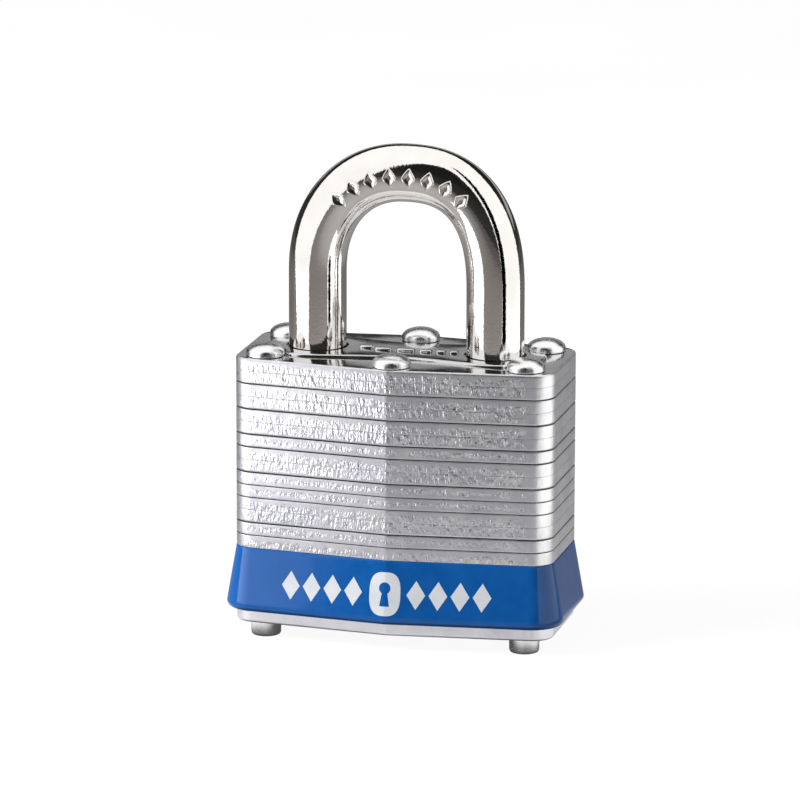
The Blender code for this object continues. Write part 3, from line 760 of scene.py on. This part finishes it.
def make_band():
    """The band: one section all round the body, with a round lower edge and a thin upper one."""
    inner = -BAND_WALL
    section = [(inner, BAND_TOP - 0.12), (inner, BAND_BOTTOM + 0.1), (inner + 0.1, BAND_BOTTOM)]
    top_of_edge = BAND_BOTTOM + BAND_EDGE
    full = band_offset(top_of_edge)
    section += [(full - BAND_EDGE + BAND_EDGE * math.sin(a), top_of_edge - BAND_EDGE * math.cos(a))
                for a in quarter_angles(BAND_EDGE_STEPS)]
    section += [(band_offset(z), z) for z in np.linspace(top_of_edge + 0.5, BAND_TOP - 0.14, 14)]
    section += [(0.0, BAND_TOP - 0.06), (-0.05, BAND_TOP - 0.015), (-0.12, BAND_TOP),
                (inner + 0.1, BAND_TOP), (inner + 0.03, BAND_TOP - 0.03)]
    vertices = []
    for offset, z in section:
        vertices += [(x, y, z) for x, y in body_outline(offset)]
    faces = ring_faces(len(OUTLINE), len(section), closed_tube=True)
    piece = new_piece("bumper_band_looks", vertices, faces, [BLUE], sharp=40)
    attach(piece, "body")
    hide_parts("bumper_band")


def band_front(x, z, lift):
    """A point on the band's front face, lifted off it."""
    slope = RIDGE_RISE / (BODY_WIDTH / 2)
    offset = band_offset(z) + lift
    ridge_y = BODY_SIDE_DEPTH / 2 + RIDGE_RISE + offset * math.hypot(1, slope)
    blunt = math.hypot(x, 0.1) - 0.02
    return (x, -(ridge_y - blunt * slope), z)


def everything(work):
    return list(work.verts) + list(work.edges) + list(work.faces)


def print_plan(loops):
    """A flat filled plan in x and z, cut across so that it can bend with the band's face."""
    work = bmesh.new()
    for loop in loops:
        ring = [work.verts.new((x, 0, z)) for x, z in loop]
        for i in range(len(ring)):
            work.edges.new((ring[i], ring[(i + 1) % len(ring)]))
    bmesh.ops.triangle_fill(work, use_beauty=True, edges=work.edges)
    cuts = [((x, 0, 0), (1, 0, 0)) for x in (-0.3, -0.1, 0.0, 0.1, 0.3, *range(-14, 15))]
    cuts += [((0, 0, z), (0, 0, 1)) for z in np.arange(BAND_BOTTOM, BAND_TOP, 1.0)]
    for spot, across in cuts:
        bmesh.ops.bisect_plane(work, geom=everything(work), plane_co=spot, plane_no=across)
    bmesh.ops.remove_doubles(work, verts=work.verts, dist=0.001)
    return work


def print_shape(*loops):
    """A thin printed area on the band's front face, from its outline and its holes."""
    work = print_plan(loops)
    back = bmesh.ops.duplicate(work, geom=everything(work))
    partner = back["vert_map"]
    is_back = {v for v in back["geom"] if isinstance(v, bmesh.types.BMVert)}
    rim = [e for e in work.edges if len(e.link_faces) == 1 and e.verts[0] not in is_back]
    for edge in rim:
        a, b = edge.verts
        work.faces.new((a, b, partner[b], partner[a]))
    for vertex in work.verts:
        lift = PRINT_BACK_LIFT if vertex in is_back else PRINT_FACE_LIFT
        vertex.co = Vector(band_front(vertex.co.x, vertex.co.z, lift)) * MM
    bmesh.ops.recalc_face_normals(work, faces=work.faces)
    return work


def keyhole_outline():
    """A round hole that opens into a straight foot."""
    middle = PRINT_CENTRE_Z + KEYHOLE_RADIUS
    foot = PRINT_CENTRE_Z - KEYHOLE_FOOT_DROP
    angles = np.linspace(math.radians(-150), math.radians(150), 31)
    outline = [(KEYHOLE_RADIUS * math.sin(a), middle + KEYHOLE_RADIUS * math.cos(a)) for a in angles]
    return outline + [(KEYHOLE_HALF_FOOT, foot), (-KEYHOLE_HALF_FOOT, foot)]


def key_plate_outline():
    """An oval with squared shoulders."""
    outline = []
    for angle in np.linspace(0, 2 * math.pi, 64, False):
        across = signed_power(math.cos(angle), KEY_PLATE_SQUARENESS)
        up = signed_power(math.sin(angle), KEY_PLATE_SQUARENESS)
        outline.append((KEY_PLATE_HALF_X * across, PRINT_CENTRE_Z + KEY_PLATE_HALF_Z * up))
    return outline


def rhombus_outline(x):
    return [(x - RHOMBUS_HALF_X, PRINT_CENTRE_Z), (x, PRINT_CENTRE_Z - RHOMBUS_HALF_Z),
            (x + RHOMBUS_HALF_X, PRINT_CENTRE_Z), (x, PRINT_CENTRE_Z + RHOMBUS_HALF_Z)]


def make_print():
    """A keyhole plate between rows of plain rhombi."""
    parts = [print_shape(key_plate_outline(), keyhole_outline())]
    for side in (-1, 1):
        parts += [print_shape(rhombus_outline(side * x - RHOMBUS_SHIFT)) for x in RHOMBUS_PLACES]
    piece = finish_piece("band_print", merge(parts), [PRINT], sharp=40)
    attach(piece, "body")


# ---- shackle

BAR_SIDES = 72

# The bar's rounded ends: distances from the end, and what is added there to the end's own radius.
HEEL_END_RADIUS = BAR_RADIUS - 0.5
HEEL_ROUNDING = ((0.0, 0.0), (0.12, 0.3), (0.3, 0.44), (0.5, 0.5))
TOE_END_RADIUS = BAR_RADIUS - 0.8
TOE_ROUNDING = ((0.8, 0.8), (0.5, 0.7), (0.2, 0.4), (0.0, 0.0))
NOTCH_CUT_HALF_Y = 9

MARK_COUNT = 8
MARK_SPACING = 2.4
MARK_HALF_LENGTH = 0.92
MARK_HALF_WIDTH = 1.3
MARK_FULLNESS = 1.15
MARK_POINTS = 16
# The section of a mark from its rim to its middle: shares of its size, and heights off the bar.
MARK_SECTION = ((1.0, -0.06), (1.0, 0.02), (0.84, 0.19), (0.64, 0.19), (0.44, 0.02), (0.25, 0.0))


def arch_point(angle):
    start, fullness = HEEL_BEND if angle < math.pi / 2 else TOE_BEND
    x = -LEG_X * signed_power(math.cos(angle), fullness)
    return np.array((x, start + (ARCH_TOP_Z - start) * abs(math.sin(angle)) ** fullness))


def shackle_line():
    """The bar's centreline from the heel over the top to the toe, in x and z."""
    raw = np.array([arch_point(a) for a in np.linspace(0, math.pi, 241)])
    steps = distances(raw)
    even = np.linspace(0, steps[-1], 111)
    arch = np.stack([np.interp(even, steps, raw[:, k]) for k in (0, 1)], axis=1)
    for _ in range(3):
        arch[1:-1] = (arch[:-2] + 2 * arch[1:-1] + arch[2:]) / 4
    heel = np.array([(-LEG_X, z) for z in np.arange(HEEL_END_Z, HEEL_BEND[0] - 0.5, 0.8)])
    toe = np.array([(LEG_X, z) for z in np.arange(TOE_END_Z, TOE_BEND[0] - 0.5, 0.8)])
    return np.concatenate([heel, arch, toe[::-1]])


def bar_rings(line):
    """The centre, direction and radius of each ring of points along the bar."""
    tangents = line_tangents(line)
    first, last = tangents[0], tangents[-1]
    rings = [(line[0] + first * d, first, HEEL_END_RADIUS + r) for d, r in HEEL_ROUNDING]
    rings += [(p, t, BAR_RADIUS) for p, t in zip(line[1:-1], tangents[1:-1])]
    rings += [(line[-1] - last * d, last, TOE_END_RADIUS + r) for d, r in TOE_ROUNDING]
    return rings


def plain_bar():
    """The bent bar before its notches and its groove are cut."""
    vertices = []
    rings = bar_rings(shackle_line())
    for centre, tangent, radius in rings:
        across = np.array((tangent[1], -tangent[0]))
        for angle in turn_angles(BAR_SIDES):
            x, z = centre + across * radius * math.cos(angle)
            vertices.append((x, radius * math.sin(angle), z))
    bar = new_piece("shackle_looks", vertices, capped_tube_faces(BAR_SIDES, len(rings)), [CHROME])
    repair = bmesh.new()
    repair.from_mesh(bar.data)
    bmesh.ops.recalc_face_normals(repair, faces=repair.faces)
    repair.to_mesh(bar.data)
    repair.free()
    return bar


def notch_cutter():
    """A block between the legs that reaches into both of them, where the levers enter."""
    half_x = LEG_X - BAR_RADIUS + NOTCH_DEPTH
    corners = [(x, y, z) for x in (-half_x, half_x) for y in (-NOTCH_CUT_HALF_Y, NOTCH_CUT_HALF_Y)
               for z in (NOTCH_BOTTOM, NOTCH_TOP)]
    faces = [(0, 1, 3, 2), (4, 6, 7, 5), (0, 4, 5, 1), (2, 3, 7, 6), (0, 2, 6, 4), (1, 5, 7, 3)]
    return new_piece("notch_cutter", corners, faces, [CHROME])


def groove_cutter():
    """A ring round the heel leg, which leaves the core that its lever runs on when it is lifted."""
    core = BAR_RADIUS - NOTCH_DEPTH
    wide = 2 * BAR_RADIUS
    section = [(core, GROOVE_BOTTOM), (wide, GROOVE_BOTTOM), (wide, GROOVE_TOP), (core, GROOVE_TOP)]
    ring = [(r * math.cos(a), r * math.sin(a), z) for r, z in section for a in turn_angles(BAR_SIDES)]
    faces = ring_faces(BAR_SIDES, len(section), closed_tube=True)
    return new_piece("groove_cutter", moved(ring, -LEG_X), faces, [CHROME])


def make_shackle():
    bar = plain_bar()
    cut_away(bar, notch_cutter())
    cut_away(bar, groove_cutter())
    bar.data.shade_smooth()
    bar.data.set_sharp_from_angle(angle=math.radians(30))
    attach(bar, "shackle")
    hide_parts("shackle")


def shackle_mark(centre, tangent):
    """One raised lozenge on the front of the bar."""
    across = np.array((tangent[1], -tangent[0]))
    work = bmesh.new()
    rings = []
    for scale, lift in MARK_SECTION:
        radius = BAR_RADIUS + lift
        ring = []
        for angle in turn_angles(MARK_POINTS):
            cos, sin = math.cos(angle), math.sin(angle)
            shape = 1 / (abs(cos) ** MARK_FULLNESS + abs(sin) ** MARK_FULLNESS) ** (1 / MARK_FULLNESS)
            along = MARK_HALF_LENGTH * scale * shape * cos
            around = MARK_HALF_WIDTH * scale * shape * sin / BAR_RADIUS
            spot = centre + tangent * along + across * radius * math.sin(around)
            ring.append(work.verts.new(Vector((spot[0], -radius * math.cos(around), spot[1])) * MM))
        rings.append(ring)
    for low, high in zip(rings, rings[1:]):
        bridge(work, low, high)
    work.faces.new(rings[0])
    work.faces.new(rings[-1])
    bmesh.ops.recalc_face_normals(work, faces=work.faces)
    return work


def make_shackle_marks():
    """A row of plain raised lozenges along the front of the arch."""
    line = shackle_line()
    tangents = line_tangents(line)
    lengths = distances(line)
    middle = int(np.argmin(np.hypot(line[:, 0], line[:, 1] - ARCH_TOP_Z)))
    parts = []
    for k in range(MARK_COUNT):
        at = lengths[middle] + (k - (MARK_COUNT - 1) / 2) * MARK_SPACING
        centre = np.array([np.interp(at, lengths, line[:, c]) for c in (0, 1)])
        tangent = np.array([np.interp(at, lengths, tangents[:, c]) for c in (0, 1)])
        parts.append(shackle_mark(centre, tangent))
    piece = finish_piece("shackle_marks", merge(parts), [CHROME], sharp=50)
    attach(piece, "shackle")


# ---- springs

COIL_RINGS_PER_TURN = 28
WIRE_SIDES = 10

# The end turns lie nearly closed: how much of a turn each is, and its rise in wire radii.
END_TURN = 0.75
END_RISE = 2.1


def coil(start, end, coil_radius, wire, turns):
    """Vertices and faces of a round wire wound between two points, with closed end turns."""
    along = (end - start) / np.linalg.norm(end - start)
    side = np.cross(along, (0.0, 1.0, 0.0))
    up = np.cross(side, along)
    run = np.linalg.norm(end - start) - 2 * wire
    rings = int((turns + 2 * END_TURN) * COIL_RINGS_PER_TURN) + 1
    vertices = []
    for k in range(rings):
        turn = k / COIL_RINGS_PER_TURN
        climb = min(max((turn - END_TURN) / turns, 0.0), 1.0)
        end_turns = min(turn, END_TURN) + max(turn - turns - END_TURN, 0.0)
        centre_run = wire + climb * (run - 2 * END_RISE * wire) + END_RISE * wire * end_turns / END_TURN
        angle = 2 * math.pi * turn
        outward = side * math.cos(angle) + up * math.sin(angle)
        for around in turn_angles(WIRE_SIDES):
            spot = start + along * (centre_run + wire * math.sin(around))
            vertices.append(tuple(spot + outward * (coil_radius + wire * math.cos(around))))
    return vertices, capped_tube_faces(WIRE_SIDES, rings)


def make_spring(name, axis, coil_radius, wire, turns):
    """A finer coil in the space of the CAD spring, with the ends of its line in metres."""
    low, high = (np.array(corner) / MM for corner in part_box(name))
    start = (low + high) / 2
    end = start.copy()
    start[axis], end[axis] = low[axis], high[axis]
    vertices, faces = coil(start, end, coil_radius, wire, turns)
    piece = new_piece(name + "_looks", vertices, faces, [SPRING])
    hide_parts(name)
    return piece, start * MM, end * MM


def make_springs():
    """Finer coils for the pin springs, each riding on the body with a mesh of its own, and for the
    shackle's spring, baked where it stands.
    """
    for number in range(1, 5):
        piece, start, end = make_spring(f"pin_spring_{number}", 0, 0.8, 0.11, 5)
        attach(piece, "body")
        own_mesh(piece)
    piece, start, end = make_spring("shackle_spring", 2, 2.6, 0.33, 6)
    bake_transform(piece)


# ---- camera

CAMERA_AZIMUTH = 14.111
CAMERA_ELEVATION = 13.506
CAMERA_ROLL = 0.122
CAMERA_DISTANCE = 786.52
CAMERA_LENS = 287.85
AIM_HEIGHT = 22
AIM_RIGHT = -0.736
AIM_UP = 7.128


def make_camera():
    """A long lens aimed a little above the middle of the body."""
    azimuth, elevation, roll = (math.radians(a) for a in (CAMERA_AZIMUTH, CAMERA_ELEVATION, CAMERA_ROLL))
    back = Vector((math.sin(azimuth) * math.cos(elevation), -math.cos(azimuth) * math.cos(elevation),
                   math.sin(elevation)))
    level = Vector((math.cos(azimuth), math.sin(azimuth), 0))
    upright = back.cross(level)
    right = level * math.cos(roll) + upright * math.sin(roll)
    up = upright * math.cos(roll) - level * math.sin(roll)
    place = Vector((0, 0, AIM_HEIGHT)) + right * AIM_RIGHT + up * AIM_UP + back * CAMERA_DISTANCE
    camera = bpy.data.objects.new("camera", bpy.data.cameras.new("camera"))
    bpy.context.scene.collection.objects.link(camera)
    camera.data.lens = CAMERA_LENS
    camera.data.clip_start = 0.05
    camera.data.clip_end = 20
    rotation = np.array((right, up, back)).T
    camera.matrix_world = Matrix([[*rotation[k], place[k] * MM] for k in range(3)] + [[0, 0, 0, 1]])
    bpy.context.scene.camera = camera


# ---- studio: floor, light and reflectors

WHITE = (1, 1, 1, 1)


def glow(name, strength):
    """A material that only shines, with its tree and its emission node."""
    material = bpy.data.materials.new(name)
    material.use_nodes = True
    tree = material.node_tree
    tree.nodes.clear()
    emission = add_node(tree, "Emission", Strength=strength, Color=WHITE)
    output = add_node(tree, "OutputMaterial")
    tree.links.new(emission.outputs["Emission"], output.inputs["Surface"])
    return material, tree, emission


def reflector(name, vertices, faces, material):
    """A card that only shows in reflections."""
    card = new_piece(name, vertices, faces, [material])
    for ray in ("camera", "diffuse", "shadow", "transmission", "volume_scatter"):
        setattr(card, "visible_" + ray, False)


def square(half, z):
    return [(-half, -half, z), (half, -half, z), (half, half, z), (-half, half, z)]


def coordinate(tree, axis, kind="Object"):
    """One coordinate, in metres if it is an object's."""
    split = add_node(tree, "SeparateXYZ")
    tree.links.new(add_node(tree, "TexCoord").outputs[kind], split.inputs[0])
    return split.outputs[axis]


def scaled(tree, value, factor, offset):
    """A value times a factor, plus an offset."""
    node = add_node(tree, "Math")
    node.operation = "MULTIPLY_ADD"
    node.inputs[1].default_value = factor
    node.inputs[2].default_value = offset
    tree.links.new(value, node.inputs[0])
    return node.outputs["Value"]


def vector_math(tree, operation, value, other=None):
    node = add_node(tree, "VectorMath")
    node.operation = operation
    if other is not None:
        node.inputs[1].default_value = other
    tree.links.new(value, node.inputs[0])
    return node.outputs["Value" if operation == "LENGTH" else "Vector"]


# Each side of the tent has a near foot towards the camera and a far foot, in plan.
TENT_NEAR = np.array(((-37, -68), (48, -27)))
TENT_FAR = np.array(((-120, -22), (105, 85)))
TENT_NEAR_AT_TOP = -43.5
TENT_FAR_AT_TOP = 7.5
TENT_UNTWIST = 1.15
TENT_OVERHEAD_LEFT = 155
TENT_OVERHEAD_RIGHT = 110
TENT_FOOT_Z = -60
TENT_HEIGHT = 260
TENT_SQUARENESS = 0.6
TENT_RIBS = 48

# Up to this height the tent is what the body mirrors, and its edges are set apart for that.
LOW_PART_TOP = 20
LOW_NEAR_LEFT = (-7, 0)
LOW_NEAR_RIGHT = (-4, -4)
LOW_FAR_LEFT = (25, -26)

# Brightness across the low part of the tent, from its left end to its right end, and above it.
TENT_HALF_SPAN = 0.2
TENT_SHADES = [(0.12, 4.8), (0.27, 2.9), (0.38, 1.5), (0.80, 1.25), (0.83, (1.3, 1.28, 1.18)),
               (0.92, (1.5, 1.47, 1.36))]
UPPER_SHADE = (1.08, 1.08, 1.08, 1)


def tent_rib(angle):
    """The near and the far end of the rib at an angle, from the left foot over to the right."""
    across = signed_power(math.cos(angle), TENT_SQUARENESS)
    rise = abs(math.sin(angle)) ** TENT_SQUARENESS
    height = TENT_FOOT_Z + TENT_HEIGHT * rise
    overhead = TENT_OVERHEAD_LEFT - (TENT_OVERHEAD_LEFT - TENT_OVERHEAD_RIGHT) * max(across, 0)
    near = TENT_NEAR.mean(axis=0) + (TENT_NEAR[1] - TENT_NEAR[0]) / 2 * across
    near = near + (0, TENT_NEAR_AT_TOP * rise)
    untwisted = across * (1 - TENT_UNTWIST * rise)
    far = TENT_FAR.mean(axis=0) + (TENT_FAR[1] - TENT_FAR[0]) / 2 * (across, untwisted)
    far = far + (TENT_FAR_AT_TOP * rise, overhead * rise ** 4)
    if height < LOW_PART_TOP:
        near = near + (LOW_NEAR_LEFT if across < 0 else LOW_NEAR_RIGHT)
        far = far + (LOW_FAR_LEFT if across < 0 else (0, 0))
    return (*near, height), (*far, height)


def tent_material():
    """Brighter towards the left in the low part, and even above it."""
    material, tree, emission = glow("tent_white", 1.0)
    place = scaled(tree, coordinate(tree, "X"), 1 / TENT_HALF_SPAN, 0.6)
    height = scaled(tree, coordinate(tree, "Z"), 10, 0)
    mix = add_node(tree, "MixRGB")
    tree.links.new(ramp(tree, height, [(0.18, 0), (0.30, 1)]), mix.inputs["Fac"])
    tree.links.new(ramp(tree, place, TENT_SHADES), mix.inputs["Color1"])
    mix.inputs["Color2"].default_value = UPPER_SHADE
    tree.links.new(mix.outputs["Color"], emission.inputs["Color"])
    return material


def make_tent():
    """White panels at both sides that join overhead, open towards the camera and low down behind."""
    vertices = []
    for k in range(TENT_RIBS + 1):
        vertices += tent_rib(math.pi * (1 - k / TENT_RIBS))
    faces = [(2 * k, 2 * k + 1, 2 * k + 3, 2 * k + 2) for k in range(TENT_RIBS)]
    reflector("tent", vertices, faces, tent_material())


def make_cards():
    """A black strip beside the tent's right edge and a long grey card far behind."""
    strip = [(40, -35, 24), (48, -27, 24), (48, -27, 200), (40, -35, 200)]
    reflector("dark_strip", strip, [(0, 1, 2, 3)], glow("black_card", 0.0)[0])
    back = [(-320, 330, 80), (320, 330, 80), (320, 330, 160), (-320, 330, 160)]
    reflector("grey_card", back, [(0, 1, 2, 3)], glow("grey_card", 0.36)[0])


# Brightness of the table by its distance from the foot of the lock, as a share of TABLE_REACH. The
# darkest stops, under and right beside the foot, are a painted shadow of the lock.
FOOT_HALF_SIZE = (18 * MM, 8 * MM, 0)
TABLE_REACH = 0.4
TABLE_GLOW_AND_PAINTED_SHADOW = [
    (0.0, 0.08), (0.008, 0.20), (0.018, 0.95), (0.036, 1.0), (0.055, 0.42), (0.12, 0.46), (0.28, 0.38),
    (0.37, (0.31, 0.295, 0.285)), (0.43, (0.24, 0.22, 0.21)), (0.62, (0.20, 0.185, 0.175)),
    (1.0, (0.10, 0.09, 0.09))]
TABLE_HALF_SIZE = 900


def make_table_reflector():
    """What the glossy parts see of the table, painted on a glowing card: a painted shadow under the
    lock, white close by, grey further out, and painted shade behind the lock.
    """
    material, tree, emission = glow("table_reflection", 1.0)
    value = add_node(tree, "TexCoord").outputs["Object"]
    value = vector_math(tree, "ABSOLUTE", value)
    value = vector_math(tree, "SUBTRACT", value, FOOT_HALF_SIZE)
    value = vector_math(tree, "MAXIMUM", value, (0, 0, 0))
    value = vector_math(tree, "MULTIPLY", value, (1 / TABLE_REACH, 1 / TABLE_REACH, 0))
    shade = ramp(tree, vector_math(tree, "LENGTH", value), TABLE_GLOW_AND_PAINTED_SHADOW)
    # Darker behind the lock: painted shade.
    depth_for_painted_shade = scaled(tree, coordinate(tree, "Y"), 5, 0.5)
    both = add_node(tree, "MixRGB", Fac=1.0)
    both.blend_type = "MULTIPLY"
    tree.links.new(shade, both.inputs["Color1"])
    tree.links.new(ramp(tree, depth_for_painted_shade, [(0.5, 1.0), (0.7, 0.72)]), both.inputs["Color2"])
    tree.links.new(both.outputs["Color"], emission.inputs["Color"])
    reflector("table_reflection", square(TABLE_HALF_SIZE, -1), [(0, 1, 2, 3)], material)


FLOOR_HALF_SIZE = 4000
FLOOR_GLOW = 0.93


def make_floor():
    """A pale floor that shines a little, so that it stays near white with a soft shadow."""
    material, tree, shader, place = node_material("floor")
    shade = ramp(tree, noise(tree, place, 0.02, 2), [(0.3, 0.10), (0.7, 0.12)])
    tree.links.new(shade, shader.inputs["Base Color"])
    shader.inputs["Roughness"].default_value = 0.9
    shader.inputs["Specular IOR Level"].default_value = 0.1
    shader.inputs["Emission Color"].default_value = WHITE
    shader.inputs["Emission Strength"].default_value = FLOOR_GLOW
    floor = new_piece("floor", square(FLOOR_HALF_SIZE, 0), [(0, 1, 2, 3)], [material])
    floor.visible_glossy = False
    floor.visible_diffuse = False


LIGHT_SIZE = 420
LIGHT_AIM_Z = 25


def area_light(name, place, power):
    """A square light aimed at the body. It shows only on matt surfaces."""
    light = bpy.data.objects.new(name, bpy.data.lights.new(name, "AREA"))
    light.data.shape = "SQUARE"
    light.data.size = LIGHT_SIZE * MM
    light.data.energy = power
    light.location = Vector(place) * MM
    aim = Vector((0, 0, LIGHT_AIM_Z)) * MM - light.location
    light.rotation_euler = aim.to_track_quat("-Z", "Y").to_euler()
    light.visible_glossy = False
    light.visible_camera = False
    bpy.context.scene.collection.objects.link(light)


def background(tree, strength):
    return add_node(tree, "Background", Color=WHITE, Strength=strength)


def choose(tree, factor, when_not, when_so):
    """One shader or another, by a yes-or-no output."""
    mix = add_node(tree, "MixShader")
    tree.links.new(factor, mix.inputs["Fac"])
    tree.links.new(when_not, mix.inputs[1])
    tree.links.new(when_so, mix.inputs[2])
    return mix.outputs["Shader"]


def make_world():
    """White to the camera, soft white light for matt surfaces, dark grey in reflections."""
    world = bpy.data.worlds.new("studio")
    bpy.context.scene.world = world
    world.use_nodes = True
    tree = world.node_tree
    tree.nodes.clear()
    height = coordinate(tree, "Z", kind="Generated")
    dark = ramp(tree, height, [(0.0, 0.03), (0.3, 0.02), (0.45, 0.012), (1.0, 0.01)])
    reflected, matt, seen = (background(tree, strength) for strength in (1.0, 0.18, 1.0))
    tree.links.new(dark, reflected.inputs["Color"])
    path = add_node(tree, "LightPath")
    not_seen = choose(tree, path.outputs["Is Glossy Ray"], matt.outputs[0], reflected.outputs[0])
    surface = choose(tree, path.outputs["Is Camera Ray"], not_seen, seen.outputs[0])
    output = add_node(tree, "OutputWorld")
    tree.links.new(surface, output.inputs["Surface"])


# ---- the scene

finish_cad_nodes()
make_plates()
make_top_panel()
make_rivets()
make_band()
make_print()
make_shackle()
make_shackle_marks()
make_springs()
make_camera()
make_tent()
make_cards()
make_table_reflector()
make_floor()
area_light("key", (-560, -350, 430), 8.5)
area_light("fill", (750, 130, 250), 1.8)
make_world()
bpy.context.scene.view_settings.view_transform = "Standard"
